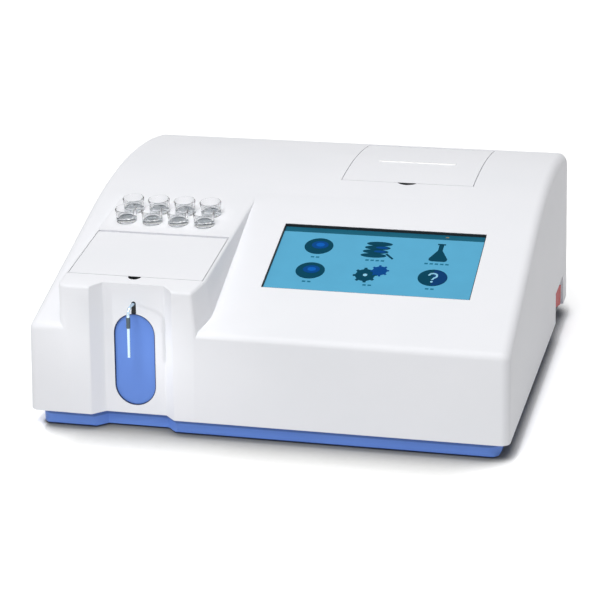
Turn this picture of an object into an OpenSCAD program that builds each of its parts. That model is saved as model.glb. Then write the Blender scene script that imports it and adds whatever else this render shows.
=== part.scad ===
// Semi-automatic chemistry analyzer: a wedge-shaped bench instrument with a raised sample station,
// a touch screen, a printer under a curved door and a flow-cell photometer inside.
// Lengths are millimetres, angles degrees. +X is the operator's right, +Y runs to the back, +Z is up.

/* [Case] */
// Width of the case at its lower edge
case_w = 356; // [336:1:390]
// Depth of the case at its lower edge
case_d = 340; // [330:1:370]
// Height of the case's lower edge above the bench
case_z = 13; // [11:0.5:18]
// Height of the front wall
front_h = 66.5; // [60:0.5:76]
// Backward lean of the front wall
front_lean = 2.6; // [1:0.1:4]
// Slope of the screen panel
panel_slope = 18; // [17:0.25:20]
// Distance from the front to the ridge where the roof turns
ridge_y = 233; // [225:1:245]
// Radius of the crown over the ridge
crown_r = 360; // [300:5:400]
// Fall of the roof behind the ridge
rear_fall = 9.4; // [7:0.1:11]
// Inward lean of the side walls
side_draft = 1; // [0.5:0.25:3]
// Wall thickness of the case
wall = 2.5; // [2:0.1:3]
// Radius along the case's side edges
edge_r = 7; // [5:0.5:11]
// Radius where the front wall meets the screen panel
front_edge_r = 7; // [4:0.5:10]
// Radius along the roof's back edge
rear_edge_r = 16; // [10:0.5:18]
// Gap between the case and the covers that close flush with it
cover_gap = 0.55; // [0.3:0.05:0.7]

/* [Base] */
// Height of the rubber feet below the base tray
foot_h = 1.6; // [1.4:0.1:2.4]
// Diameter of a rubber foot
foot_d = 16; // [12:0.5:20]
// How far the base tray stands back from the case's sides
base_inset = 7; // [5:0.5:9]
// How much narrower the base tray is at its underside, on each side
base_taper = 2; // [1:0.5:4]
// Thickness of the base tray's floor
floor_t = 3.9; // [3.4:0.1:4.4]
// Radius of a case screw's shank
screw_r = 1.5; // [1.25:0.05:2]

/* [Sample station] */
// Middle of the sample station across the case
station_x = -100.5; // [-102:0.5:-98]
// Width of the sample station
station_w = 107; // [104:0.5:112]
// Height of the station's front edge above the front wall
station_rise = 30.5; // [26:0.5:34]
// Slope of the station's top
station_slope = 8.2; // [7:0.1:9.5]
// Radius of the station's front left corner
station_left_r = 8; // [6:0.5:12]
// Width of the facet on the station's front right corner
station_facet_w = 4.5; // [3:0.5:5]
// Length of the facet on the station's front right corner
station_facet_l = 19; // [14:0.5:21]
// Draft of the station's right wall
station_draft = 9; // [5:0.5:11]
// Radius along the station's top edge
station_edge_r = 2.5; // [1.5:0.25:3.5]
// Middle of the sample channel across the case
channel_x = -98.2; // [-100:0.1:-96]
// Width of the sample channel at its mouth
channel_w = 63; // [60:0.5:66]
// Width of the sample channel at its back
channel_back_w = 46; // [44:0.5:50]
// Depth of the sample channel
channel_depth = 8.5; // [6:0.5:9.5]

/* [Sample lid] */
// Width of the lid
lid_w = 101.5; // [98:0.5:102]
// Length of the lid along the slope
lid_l = 73; // [70:0.5:76]
// Distance from the station's front edge to the lid
lid_front = 21; // [20:0.5:24]
// Thickness of the lid
lid_t = 2.2; // [1.8:0.1:2.4]
// Radius of the hinge barrels of the lid and the printer door
barrel_r = 3; // [2.6:0.1:3.4]
// Radius of the hinge pins
pin_r = 1.25; // [1:0.05:1.5]
// Radial running clearance of the hinge pins
pin_clearance = 0.05; // [0.02:0.01:0.1]
// Width of the finger notch in front of the lid
lid_notch_w = 10; // [9:0.5:13]

/* [Sample cups] */
// Diameter of a cup's rim
cup_rim_d = 16.6; // [15:0.2:18]
// Diameter of a cup's base
cup_base_d = 15.2; // [14:0.2:15.8]
// Height of a cup
cup_h = 11.4; // [10:0.1:16]
// Depth of a cup's seat in the station's top
cup_seat = 1.2; // [0.8:0.1:1.6]
// Distance between neighbouring cups in a row
cup_pitch = 20.6; // [19.5:0.1:22]
// Distance between the two rows of cups
cup_row = 19.3; // [18.4:0.1:22]
// Middle of the cup rows across the case
cups_x = -104.8; // [-106:0.1:-102]
// Distance from the station's front edge to the first row of cups
cups_front = 114; // [112:0.5:116]

/* [Sample key and needle] */
// Width of the key's opening
key_w = 31.2; // [28:0.2:33]
// Height of the key's opening
key_h = 69.8; // [64:0.2:71]
// Height of the key's middle above the case's lower edge
key_z = 41.4; // [40:0.2:43]
// Travel of the key
key_travel = 3; // [2:0.25:3]
// Outer diameter of the needle
needle_d = 2.2; // [1.6:0.1:2.6]
// How far the needle stands in front of the front wall
needle_reach = 4.5; // [4:0.5:8]
// Height of the needle's tip above the case's lower edge
needle_tip_z = 47.5; // [40:0.5:56]
// Radius of the needle's bend
needle_bend_r = 6; // [5:0.25:7]

/* [Screen] */
// Width of the screen window
window_w = 155; // [150:0.5:158]
// Height of the screen window along the slope
window_h = 82.3; // [78:0.1:87]
// Middle of the screen window across the case
window_x = 61.7; // [59:0.1:65]
// Distance from the panel's front edge to the window
window_front = 61.3; // [58:0.1:64]
// Border of the display that lies behind the panel
display_border = 6; // [4:0.5:8]

/* [Printer] */
// Middle of the printer door across the case
door_x = 65.3; // [62:0.1:68]
// Width of the printer door
door_w = 104.2; // [102:0.2:110]
// Distance from the back of the case to the door's back edge
door_back = 22; // [20:0.5:26]
// Depth of the printer door
door_l = 109.5; // [108:0.5:112]
// Width of the paper slot
slot_w = 62; // [58:0.5:66]
// Distance from the door's front edge to the paper slot
slot_front = 48; // [47:0.5:49]
// Width of the finger notch in front of the door
door_notch_w = 16; // [12:0.5:20]
// Diameter of the paper roll
roll_d = 40; // [34:0.5:40]
// Width of the paper roll
roll_w = 57; // [54:0.5:58]
// Diameter of the platen roller
platen_d = 10; // [8:0.5:10]

/* [Power switch] */
// Length of the switch bezel
switch_l = 31; // [28:0.5:33]
// Height of the switch bezel
switch_h = 22; // [19:0.5:23]
// Distance from the back of the case to the middle of the switch
switch_back = 53; // [50:0.5:56]
// Depth of the pocket around the switch
pocket_depth = 4.5; // [4:0.25:6]
// Full throw of the rocker
rocker_throw = 18; // [14:0.5:20]

/* [Photometer] */
// Height of the light path above the bench
beam_z = 50; // [49:0.25:52]
// Distance from the front of the case to the light path
beam_y = 62; // [61:0.5:64]
// Radius of the ring of filters
filter_ring_r = 24; // [23:0.5:25]
// Diameter of a filter
filter_d = 13; // [11:0.25:14]
// Number of filters
filter_count = 8; // [6:1:9]

/* [Pump] */
// Distance from the front of the case to the pump's axis
pump_y = 165; // [163:0.5:168]
// Middle of the pump across the case
pump_x = -113; // [-116:0.5:-111]
// Radius of the ring of pump rollers
roller_ring_r = 15; // [14:0.25:16]
// Diameter of a pump roller
roller_d = 9; // [8:0.25:10]
// Thickness of the pump tube where it is squeezed
squeezed_t = 1.7; // [1.4:0.1:2]
// Diameter of the tubing
tube_d = 3.6; // [3:0.1:4]

/* [Hidden] */
$fn = 48;
hull_fn = 32;
slice_t = 0.01;
cut = 1;
fit_gap = 0.3;

// Case profile in the Y-Z plane. Each wall is a line that can be moved inwards by an inset.
front_top = [front_h * tan(front_lean), case_z + front_h];
ridge = [ridge_y, front_top[1] + (ridge_y - front_top[0]) * tan(panel_slope)];
skirt = edge_r + cut;
crown_turn = panel_slope + rear_fall;
crown_run = crown_r * tan(crown_turn / 2);
crown_start_y = ridge_y - crown_run * cos(panel_slope);
crown_end_y = ridge_y + crown_run * cos(rear_fall);
crown_mid = [crown_start_y + crown_r * sin(panel_slope),
             ridge[1] - crown_run * sin(panel_slope) - crown_r * cos(panel_slope)];

// Height of the roof's outer face at a distance y from the front.
function roof_z(y) =
    y < crown_start_y ? front_top[1] + (y - front_top[0]) * tan(panel_slope)
    : y < crown_end_y ? crown_mid[1] + sqrt(pow(crown_r, 2) - pow(y - crown_mid[0], 2))
    : ridge[1] - (y - ridge_y) * tan(rear_fall);
function lines_meet(p, a, q, b) =
    let (k = ((q[0] - p[0]) * sin(b) - (q[1] - p[1]) * cos(b)) / sin(b - a))
    [p[0] + k * cos(a), p[1] + k * sin(a)];
function unit(v) = v / norm(v);
function short_turn(a) = a > 180 ? a - 360 : a < -180 ? a + 360 : a;
// Points of an arc of radius r that rounds the corner b of the path a, b, c.
function corner(a, b, c, r, steps) =
    r <= 0 ? [b]
    : let (u = unit(a - b), v = unit(c - b), half = acos(u * v) / 2,
           mid = b + unit(u + v) * r / sin(half),
           from = b + u * r / tan(half) - mid, to = b + v * r / tan(half) - mid,
           start = atan2(from[1], from[0]), turn = short_turn(atan2(to[1], to[0]) - start))
      [for (i = [0 : steps]) mid + r * [cos(start + turn * i / steps), sin(start + turn * i / steps)]];
function rounded(points, radii, steps) =
    let (n = len(points))
    [for (i = [0 : n - 1])
        each corner(points[(i + n - 1) % n], points[i], points[(i + 1) % n], radii[i], steps)];
function profile(inset) =
    let (front = [cos(front_lean), -sin(front_lean)] * inset,
         panel = front_top + [sin(panel_slope), -cos(panel_slope)] * inset,
         rear = ridge + [-sin(rear_fall), -cos(rear_fall)] * inset,
         back = [case_d - inset, 0], low = [0, case_z - skirt], lean = 90 - front_lean)
    rounded([lines_meet(front + [0, case_z], lean, low, 0),
             lines_meet(front + [0, case_z], lean, panel, panel_slope),
             lines_meet(panel, panel_slope, rear, -rear_fall),
             lines_meet(rear, -rear_fall, back, 90), [back[0], low[1]]],
            [0, front_edge_r - inset, crown_r - inset, rear_edge_r - inset, 0], 10);

// Frames of the front wall, the screen panel and the station's top.
station_edge = [(front_h + station_rise) * tan(front_lean), case_z + front_h + station_rise];
station_l = 215 / cos(station_slope);
function station_z(y) = station_edge[1] + (y - station_edge[0]) * tan(station_slope);
module on_front() translate([channel_x, 0, case_z]) rotate([-front_lean, 0, 0]) children();
module on_panel() translate([0, front_top[0], front_top[1]]) rotate([panel_slope, 0, 0]) children();
module on_station() translate([station_x, station_edge[0], station_edge[1]]) rotate([station_slope, 0, 0])
    children();

// Shapes that several pieces share.
module block(x, y, z) translate([x[0], y[0], z[0]]) cube([x[1] - x[0], y[1] - y[0], z[1] - z[0]]);
module along_x(r, x0, x1) translate([x0, 0, 0]) rotate([0, 90, 0]) cylinder(r = r, h = x1 - x0);
module along_y(r, y0, y1) translate([0, y0, 0]) rotate([-90, 0, 0]) cylinder(r = r, h = y1 - y0);
module stadium(w, h, y0, y1) {
    for (s = [-1, 1]) translate([0, 0, s * (h - w) / 2]) along_y(w / 2, y0, y1);
    block([-w / 2, w / 2], [y0, y1], [-(h - w) / 2, (h - w) / 2]);
}
module across(w, points) rotate([90, 0, 90]) translate([0, 0, -w / 2]) linear_extrude(w) polygon(points);

// A round tube swept through points, with a smooth curve between them.
function between(a, b, c, d, t) =
    0.5 * (2 * b + (c - a) * t + (2 * a - 5 * b + 4 * c - d) * t * t + (3 * b - a - 3 * c + d) * t * t * t);
function smooth(p, steps) =
    let (n = len(p) - 1)
    [for (i = [0 : n - 1], k = [0 : steps - 1])
        between(p[max(i - 1, 0)], p[i], p[i + 1], p[min(i + 2, n)], k / steps), p[n]];
module swept(path, r, sides) {
    n = len(path);
    ring = [for (i = [0 : n - 1])
        let (d = unit(path[min(i + 1, n - 1)] - path[max(i - 1, 0)]),
             u = unit(cross(d, abs(d[2]) > 0.8 ? [1, 0, 0] : [0, 0, 1])), v = cross(u, d))
        each [for (k = [0 : sides - 1]) path[i] + r * (u * cos(360 * k / sides) + v * sin(360 * k / sides))]];
    sides_faces = [for (i = [0 : n - 2], k = [0 : sides - 1])
        let (a = i * sides + k, b = i * sides + (k + 1) % sides)
        each [[a, b, b + sides], [a, b + sides, a + sides]]];
    ends = [for (k = [1 : sides - 2]) each [[0, k + 1, k],
        [(n - 1) * sides, (n - 1) * sides + k, (n - 1) * sides + k + 1]]];
    polyhedron(ring, concat(sides_faces, ends));
}

// Levels and positions inside the case, measured from its front and from the bench.
floor_z = foot_h + floor_t;
head_z = foot_h + 1.2;
chassis_z = floor_z + 6.5;
chassis_t = 1.5;
deck_z = chassis_z + chassis_t;
back_in_y = case_d - wall;
boss_x = case_w / 2 - 14;
boss_y = [24, case_d - 18];
boss_r = 4.5;
boss_top = 50;

// Sample lid and its frame, in the station's frame.
lid_hinge = lid_front + lid_l - barrel_r;
lid_frame_t = 2 * barrel_r + cover_gap + 1.1;
lid_ledge = 4;
well_y = [lid_front + lid_ledge, lid_hinge - barrel_r - cover_gap - 2];
well_half = lid_w / 2 - lid_ledge;
well_floor = -36;
well_t = 2;

// Sample channel and key, in the front wall's frame.
station_proud = 0.2;
station_facet_r = 3;
station_foot = front_top[1] - 4;
channel_half = channel_w / 2;
channel_back = channel_back_w / 2;
channel_side = channel_half - channel_back;
channel_grow = (norm([channel_side, channel_depth]) - channel_side) / channel_depth;
key_gap = 0.7;
key_sink = 1.2;
key_flange = 2;
key_wall = channel_depth + wall;
key_flange_y = [key_wall + 0.2, key_wall + 2];
key_post_r = 4;
key_post_clearance = 0.05;
key_cross_y = [key_wall + 12.5, key_wall + 15];
key_post_end = key_cross_y[1] + 3;
needle_z = key_z + key_h / 2 + 7.6;
needle_slot_w = needle_d + 1.4;
needle_in = 30;
sleeve_l = 8;
needle_out = needle_reach * cos(front_lean) - needle_tip_z * sin(front_lean) + needle_d / 2;

// Display stack, in the panel's frame.
glass_t = 1.8;
display_t = 5;
bracket_t = 1.5;
glass_top = -wall - 0.05;
display_top = glass_top - glass_t;
bracket_top = display_top - display_t;
display_half = [window_w / 2 + display_border, window_h / 2 + display_border];
window_mid = window_front + window_h / 2;
post_x = display_half[0] + 5;
post_y = 30;
post_r = 2.4;

// Printer.
door_t = 2.2;
door_y1 = case_d - door_back;
door_y0 = door_y1 - door_l;
door_hinge_y = door_y1 - barrel_r;
door_hinge_tilt = asin((door_hinge_y - crown_mid[0]) / crown_r);
door_hinge_z = roof_z(door_hinge_y) - barrel_r / cos(door_hinge_tilt);
slot_y = door_y0 + slot_front;
platen_y = slot_y + 0.4 + platen_d / 2;
platen_z = roof_z(platen_y) - 19;
bucket_floor = platen_z - 34;
roll_y = platen_y + 26;
roll_z = bucket_floor + roll_d / 2 + fit_gap;
bucket_half = 46;
bucket_t = 2;
bucket_y = [platen_y - 32, roll_y + roll_d / 2 + 1.7];
bucket_top = platen_z + 8;
gear_module = 0.7;
platen_teeth = 32;
pinion_teeth = 16;
gear_backlash = 0.2;
gear_drop = 12;
gear_gap = gear_module * (platen_teeth + pinion_teeth) / 2 + 0.1;
pinion_y = platen_y - gear_gap * cos(gear_drop);
pinion_z = platen_z - gear_gap * sin(gear_drop);
gear_x = [-44.5, -40.5];
printer_motor_r = 8;
printer_motor_x = [-37, -17];

// Power switch.
switch_y = case_d - switch_back;
pocket_y = [switch_y - switch_l / 2 - 9.5, switch_y + switch_l / 2 + 9.5];
pocket_top = case_z + switch_h + 3.5;
pocket_x = case_w / 2 - pocket_depth;
switch_z = case_z + 1.5 + switch_h / 2;
rocker_half = switch_l / 2 - 2.8;
rocker_w = switch_h - 5;
rocker_pivot = pocket_x - 1.5;

// Photometer.
cell_x = channel_x;
cell_half = [21, 15];
cell_block_top = station_z(beam_y) - 27;
cell_side = 12.4;
cell_foot = beam_z - 10;
cell_top = cell_block_top + 3;
port_top = cell_top + 3.7;
wheel_r = filter_ring_r + filter_d / 2 + 2.5;
wheel_y = beam_y + filter_ring_r;
wheel_x = cell_x + 37.7;
wheel_t = 5;
plate_x = wheel_x + wheel_t + 3.5;
plate_t = 2;
motor_x = plate_x + plate_t;
filter_motor_r = 15;

// Pump.
pump_motor_top = deck_z + 36.5;
head_floor = pump_motor_top + 3;
head_top = head_floor + 13;
tube_ring = roller_ring_r + roller_d / 2 + 0.25;
track_r = tube_ring + squeezed_t + 0.25;
pump_leg = 30;
pump_mid_z = head_floor + 7;

// Rear fittings.
panel_t = 2;
panel_y = back_in_y - 0.1;
panel_z = [case_z + 4, case_z + 97];
panel_half = case_w / 2 - 28;
fan_x = -70;
fan_z = 62;
fan_side = 60;
fan_t = 15;
fan_y = panel_y - panel_t - fan_t;
inlet_x = 112;
inlet_z = 46;
nipple_x = -130;
nipple_z = 40;
nipple_l = 10;
nipple_r = 2;
back_out = nipple_l - wall - 0.1;
y_shift = -(case_d + back_out - needle_out) / 2;

cup_names = [for (i = [1 : 8]) str("sample_cup_", i)];

module wedge(inset) {
    r = edge_r - inset;
    half = case_w / 2 - inset / cos(side_draft);
    hull() for (side = [0, 1], a = [0 : 15 : 90])
        mirror([side, 0, 0]) translate([half, 0, case_z]) rotate([0, -side_draft, 0])
            translate([-r * (1 - cos(a)) - slice_t, 0, r * (1 - cos(a)) * tan(side_draft)])
                rotate([90, 0, 90])
                linear_extrude(slice_t) polygon([for (p = profile(inset + r * (1 - sin(a))))
                    [p[0], (p[1] - case_z) / cos(side_draft)]]);
}

// Posts of the station's outline: side, radius, distance behind the front, distance inside the flank,
// and share of the draft.
station_posts = [[-1, station_left_r, 0, 0, 0], [1, station_facet_r, 0, station_facet_w, 0.6],
                 [1, station_facet_r, station_facet_l, 0, 1]];
rear_posts = [[-1, 4, station_l, 0, 0], [1, 4, station_l, 0, 1]];

module station_feet(inset, z) {
    front = inset > 0 ? inset + 0.3 : -station_proud;
    half = station_w / 2 - inset;
    for (p = station_posts) {
        r = p[1] - inset;
        y = r + p[2] + front + (z - case_z) * tan(front_lean);
        translate([station_x + p[0] * (half - r - p[3]) + p[4] * station_flare(p[2], inset), y, z])
            cylinder(r = r, h = slice_t, $fn = hull_fn);
    }
    for (p = rear_posts) translate([station_x + p[0] * (half - p[1]) + p[4] * station_flare(p[2], inset),
        p[2], z])
        cylinder(r = p[1], h = slice_t, $fn = hull_fn);
}

function station_flare(y, inset) = (station_z(y) - inset - station_foot) * tan(station_draft);

module station_body(inset) {
    e = inset > 0 ? 0.3 : station_edge_r;
    front = inset > 0 ? inset + 0.3 : -station_proud;
    half = station_w / 2 - inset;
    hull() {
        for (a = [0 : 30 : 90]) on_station() translate([0, 0, -inset - e * (1 - sin(a))]) {
            for (p = station_posts) translate([p[0] * (half - p[1] + inset - p[3]),
                p[1] - inset + p[2] + front, 0])
                cylinder(r = p[1] - inset - e * (1 - cos(a)), h = slice_t, $fn = hull_fn);
            for (p = rear_posts) translate([p[0] * (half - p[1]), p[2], 0])
                cylinder(r = p[1] - e * (1 - cos(a)), h = slice_t, $fn = hull_fn);
        }
        station_feet(inset, station_foot);
        station_feet(inset, case_z - skirt);
    }
}

module channel_cut() {
    far = channel_half + 8;
    front = -station_proud - 0.1;
    on_front() translate([0, 0, -2]) linear_extrude(front_h + station_rise + 14)
        polygon(rounded([[-far, front - 3], [-far, front], [-channel_half, front],
                         [-channel_back, channel_depth], [channel_back, channel_depth],
                         [channel_half, front], [far, front], [far, front - 3]],
                        [0, 0, 3, 2.5, 2.5, 3, 0, 0], 6));
}

module channel_liner() {
    back = channel_back + channel_grow * wall;
    mouth = back + (key_wall - 1) * channel_side / channel_depth;
    on_front() linear_extrude((front_h + station_rise) / cos(front_lean) - 0.5)
        polygon([[-mouth, 1], [-back, key_wall], [back, key_wall], [mouth, 1]]);
}

// The space above the roof when its face is moved inwards, between two distances from the front.
module above_roof(w, y, inset) {
    difference() {
        block([-w / 2, w / 2], y, [case_z + front_h, 2 * ridge[1]]);
        across(w + 2 * cut, profile(inset));
    }
}

module door_frame() {
    translate([door_x, 0, 0]) {
        difference() {
            above_roof(door_w + 8, [door_y0 - 7, door_y1 + 4], door_t + cover_gap + 2);
            above_roof(door_w + 12, [door_y0 - 9, door_y1 + 6], wall - 0.6);
        }
        for (s = [-1, 1]) translate([s * (door_w / 2 + 2.5), door_hinge_y, door_hinge_z])
            along_x(barrel_r - 0.4, -2, 2);
    }
}

module door_opening() {
    translate([door_x, 0, 0]) {
        above_roof(door_w + 2 * cover_gap, [door_y0 - cover_gap, door_hinge_y + barrel_r + cover_gap],
            door_t + cover_gap);
        block([-door_w / 2 + 4, door_w / 2 - 4], [door_y0 + 4, door_hinge_y - barrel_r - 3],
              [case_z + front_h, 2 * ridge[1]]);
        translate([0, door_hinge_y, door_hinge_z]) {
            along_x(barrel_r + cover_gap, -door_w / 2 - cover_gap, door_w / 2 + cover_gap);
            along_x(pin_r, -door_w / 2 - 3.4, door_w / 2 + 3.4);
        }
        notch_r = pow(door_notch_w / 2, 2) / 8 + 2;
        intersection() {
            translate([0, door_y0 - 4 + notch_r, 0]) cylinder(r = notch_r, h = 2 * ridge[1]);
            above_roof(door_w, [door_y0 - 5, door_y0 + 1], 4);
        }
    }
}

module lid_frame() {
    on_station() {
        block([-lid_w / 2 - 1.5, lid_w / 2 + 1.5], [lid_front - 3, lid_front + lid_l + cover_gap + 2.5],
              [-lid_frame_t, -0.5]);
        block([-lid_notch_w, lid_notch_w], [lid_front - lid_notch_w / 2 - 2, lid_front],
            [-lid_frame_t, -0.5]);
    }
}

module lid_opening() {
    on_station() {
        half = lid_w / 2 + cover_gap;
        block([-half, half], [lid_front - cover_gap, lid_hinge + barrel_r + cover_gap],
            [-lid_t - cover_gap, cut]);
        block([-well_half, well_half], well_y, [-lid_frame_t - cut, cut]);
        translate([0, lid_hinge, -barrel_r]) {
            along_x(barrel_r + cover_gap, -half, half);
            along_x(pin_r, -half - 1.6, half + 1.6);
        }
        block([-half, half], [lid_hinge, lid_hinge + barrel_r + cover_gap], [-barrel_r, cut]);
        translate([0, lid_front, -lid_t - cover_gap - 2]) cylinder(d = lid_notch_w, h = 10);
    }
}

function cup_at(i) = [cups_x - station_x + (i % 4 - 1.5) * cup_pitch, cups_front + floor(i / 4) * cup_row,
    -cup_seat];

module upper_housing() {
    color([0.93, 0.94, 0.96]) difference() {
        union() {
            difference() {
                union() {
                    difference() {
                        union() {
                            wedge(0);
                            station_body(0);
                        }
                        wedge(wall);
                        station_body(wall);
                    }
                    channel_liner();
                }
                block([-case_w, case_w], [-case_d, 2 * case_d], [-case_w, case_z]);
            }
            lid_frame();
            door_frame();
            block([pocket_x - wall, case_w / 2 - 1.5], [pocket_y[0] - wall, pocket_y[1] + wall],
                  [case_z, pocket_top + wall]);
            for (s = [0, 1], y = boss_y) mirror([s, 0, 0]) {
                translate([boss_x, y, floor_z]) cylinder(r = boss_r, h = boss_top - floor_z);
                block([boss_x, case_w / 2 - (boss_top - case_z) * tan(side_draft) - 0.4],
                    [y - 1.25, y + 1.25],
                      [case_z + 3, boss_top]);
            }
            on_panel() for (s = [-1, 1], t = [-1, 1])
                translate([window_x + s * post_x, window_mid + t * post_y, 0])
                translate([0, 0, bracket_top - bracket_t - 1])
                    cylinder(r = post_r, h = -wall + 0.8 - bracket_top + bracket_t + 1);
        }
        channel_cut();
        on_front() {
            translate([0, 0, key_z]) stadium(key_w, key_h, channel_depth - cut, key_wall + cut);
            block([-needle_slot_w / 2, needle_slot_w / 2], [channel_depth - cut, key_wall + cut],
                  [key_z + key_h / 2 - 3, needle_z]);
            translate([0, 0, needle_z]) along_y(needle_slot_w / 2, channel_depth - cut, key_wall + cut);
        }
        lid_opening();
        on_station() for (i = [0 : 7]) translate(cup_at(i))
            cylinder(d = cup_base_d + 2 * fit_gap, h = 2 * cup_seat);
        on_panel() block([window_x - window_w / 2, window_x + window_w / 2],
            [window_front, window_front + window_h],
                         [-2 * wall, cut]);
        door_opening();
        block([pocket_x, case_w], pocket_y, [case_z - cut, pocket_top]);
        block([pocket_x - wall - cut, case_w], [switch_y - switch_l / 2 + 1.5, switch_y + switch_l / 2 - 1.5],
              [switch_z - switch_h / 2 + 1.5, switch_z + switch_h / 2 - 1.5]);
        block([-panel_half + 8, panel_half - 8], [back_in_y - cut, case_d + cut],
            [panel_z[0] + 5, panel_z[1] - 6]);
        for (s = [-1, 1], y = boss_y) translate([s * boss_x, y, floor_z - cut])
            cylinder(r = screw_r + 0.1, h = 20);
    }
}

// Outline of the base tray, stepped back around the sample channel.
function base_outline(side, front, grow) =
    rounded([[-case_w / 2 + side, front],
             [channel_x - channel_half - grow * channel_grow, front],
             [channel_x - channel_back - grow * channel_grow, front + channel_depth],
             [channel_x + channel_back + grow * channel_grow, front + channel_depth],
             [channel_x + channel_half + grow * channel_grow, front],
             [case_w / 2 - side, front], [case_w / 2 - side, case_d - front],
                 [-case_w / 2 + side, case_d - front]],
            [10, 1.5, 1.5, 1.5, 1.5, 10, 10, 10], 6);
foot_at = [for (x = [-1, 1], y = [40, case_d - 40]) [x * (case_w / 2 - 34), y]];

module base_tray() {
    base_front = base_inset - 2;
    lip = wall + cover_gap;
    color([0.30, 0.46, 0.80]) difference() {
        union() {
            difference() {
                intersection() {
                    translate([0, 0, foot_h]) linear_extrude(case_z - foot_h)
                        polygon(base_outline(base_inset, base_front, 0));
                    hull() {
                        block([-case_w / 2, case_w / 2], [0, case_d], [case_z, case_z + cut]);
                        block([-case_w / 2 + base_inset + base_taper, case_w / 2 - base_inset - base_taper],
                              [base_front + 1.5, case_d - base_front - 1.5], [foot_h - 0.5, foot_h]);
                    }
                }
                translate([0, 0, floor_z]) linear_extrude(case_z)
                    polygon(base_outline(base_inset + base_taper + 2, base_front + wall + 2, wall));
            }
            translate([0, 0, case_z]) difference() {
                linear_extrude(wall) polygon(base_outline(lip, lip, lip));
                translate([0, 0, -cut]) linear_extrude(wall + 2 * cut)
                    polygon(base_outline(base_inset + base_taper + 2, base_front + wall + 2, wall));
            }
            for (x = [-100, 20, 140], y = [60, 170, 300]) translate([x, y, floor_z - cut])
                cylinder(r = 5, h = chassis_z - floor_z + cut);
        }
        block([pocket_x - wall - cut, case_w], [pocket_y[0] - wall - cut, pocket_y[1] + wall + cut],
            [case_z, case_z + 2 * wall]);
        for (p = foot_at) translate([p[0], p[1], 0]) cylinder(d = foot_d + 0.4, h = foot_h + 0.8);
        for (s = [-1, 1], y = boss_y) translate([s * boss_x, y, 0]) {
            cylinder(r = screw_r + 0.4, h = 2 * floor_z);
            cylinder(r = 3.3, h = head_z);
            translate([0, 0, floor_z]) cylinder(r = boss_r + cover_gap, h = case_z);
        }
    }
}

module rubber_feet() {
    color([0.10, 0.10, 0.11]) for (p = foot_at) translate([p[0], p[1], 0])
        cylinder(d = foot_d, h = foot_h + 0.8);
}

module case_screws() {
    color([0.62, 0.63, 0.65]) for (s = [-1, 1], y = boss_y) translate([s * boss_x, y, 0]) difference() {
        union() {
            translate([0, 0, head_z - 2]) cylinder(r = 3, h = 2);
            translate([0, 0, head_z - cut]) cylinder(r = screw_r, h = 16);
        }
        translate([0, 0, head_z - 2 - cut]) cylinder(r = 1.4, h = cut + 1.2, $fn = 6);
    }
}

module chassis_plate() {
    color([0.66, 0.68, 0.70]) difference() {
        block([-case_w / 2 + 21, case_w / 2 - 21], [20, case_d - 14], [chassis_z, deck_z]);
        for (x = [-140, -20, 60], y = [110, 200, 250]) translate([x, y, chassis_z - cut])
            cylinder(r = 4, h = 4);
    }
}

module rear_panel() {
    color([0.86, 0.87, 0.89]) {
        difference() {
            block([-panel_half, panel_half], [panel_y - panel_t, panel_y], panel_z);
            for (i = [-4 : 4]) {
                half = sqrt(pow(fan_side / 2 - 3, 2) - pow(6 * i, 2)) - 1;
                block([fan_x - half, fan_x + half], [panel_y - panel_t - cut, panel_y + cut],
                    [fan_z + 6 * i - 2, fan_z + 6 * i + 2]);
            }
            block([inlet_x - 13.6, inlet_x + 13.6], [panel_y - panel_t - cut, panel_y + cut],
                [inlet_z - 10.1, inlet_z + 10.1]);
            translate([nipple_x, 0, nipple_z]) along_y(1.2, panel_y - 20, panel_y + 20);
        }
        translate([nipple_x, 0, nipple_z]) difference() {
            union() {
                along_y(nipple_r, panel_y - panel_t - 8, panel_y + nipple_l);
                along_y(4, panel_y - 0.5, panel_y + 1.5);
            }
            along_y(1.2, panel_y - 20, panel_y + 20);
        }
    }
}

module sample_lid() {
    color([0.93, 0.94, 0.96]) on_station() difference() {
        union() {
            block([-lid_w / 2, lid_w / 2], [lid_front, lid_hinge], [-lid_t, 0]);
            translate([0, lid_hinge, -barrel_r]) along_x(barrel_r, -lid_w / 2, lid_w / 2);
        }
        translate([0, lid_hinge, -barrel_r]) along_x(pin_r + pin_clearance, -lid_w, lid_w);
    }
}

module printer_door() {
    color([0.93, 0.94, 0.96]) translate([door_x, 0, 0]) difference() {
        union() {
            difference() {
                above_roof(door_w, [door_y0, door_hinge_y], door_t);
                above_roof(door_w + 2, [door_y0 - cut, door_hinge_y + cut], 0);
            }
            translate([0, door_hinge_y, door_hinge_z]) along_x(barrel_r, -door_w / 2, door_w / 2);
            block([-slot_w / 2, slot_w / 2], [slot_y - 2.8, slot_y],
                [roof_z(slot_y) - 1.5, roof_z(slot_y) + 0.8]);
        }
        block([-slot_w / 2 + 1, slot_w / 2 - 1], [slot_y - 1.1, slot_y + 1.1],
            [roof_z(slot_y) - 10, roof_z(slot_y) + 10]);
        translate([0, door_hinge_y, door_hinge_z]) along_x(pin_r + pin_clearance, -door_w, door_w);
    }
}

module hinge_pins() {
    color([0.75, 0.76, 0.78]) {
        half = lid_w / 2 + cover_gap + 1.5;
        on_station() translate([0, lid_hinge, -barrel_r]) along_x(pin_r, -half, half);
        translate([door_x, door_hinge_y, door_hinge_z]) along_x(pin_r, -door_w / 2 - 3.3, door_w / 2 + 3.3);
    }
}

module sample_key() {
    color([0.30, 0.46, 0.80]) on_front() translate([0, 0, key_z]) {
        stadium(key_w - 2 * key_gap, key_h - 2 * key_gap, channel_depth + key_sink, key_flange_y[0]);
        stadium(key_w + 2 * key_flange, key_h + 2 * key_flange, key_flange_y[0], key_flange_y[1]);
        along_y(key_post_r, key_flange_y[1], key_post_end);
    }
}

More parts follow.
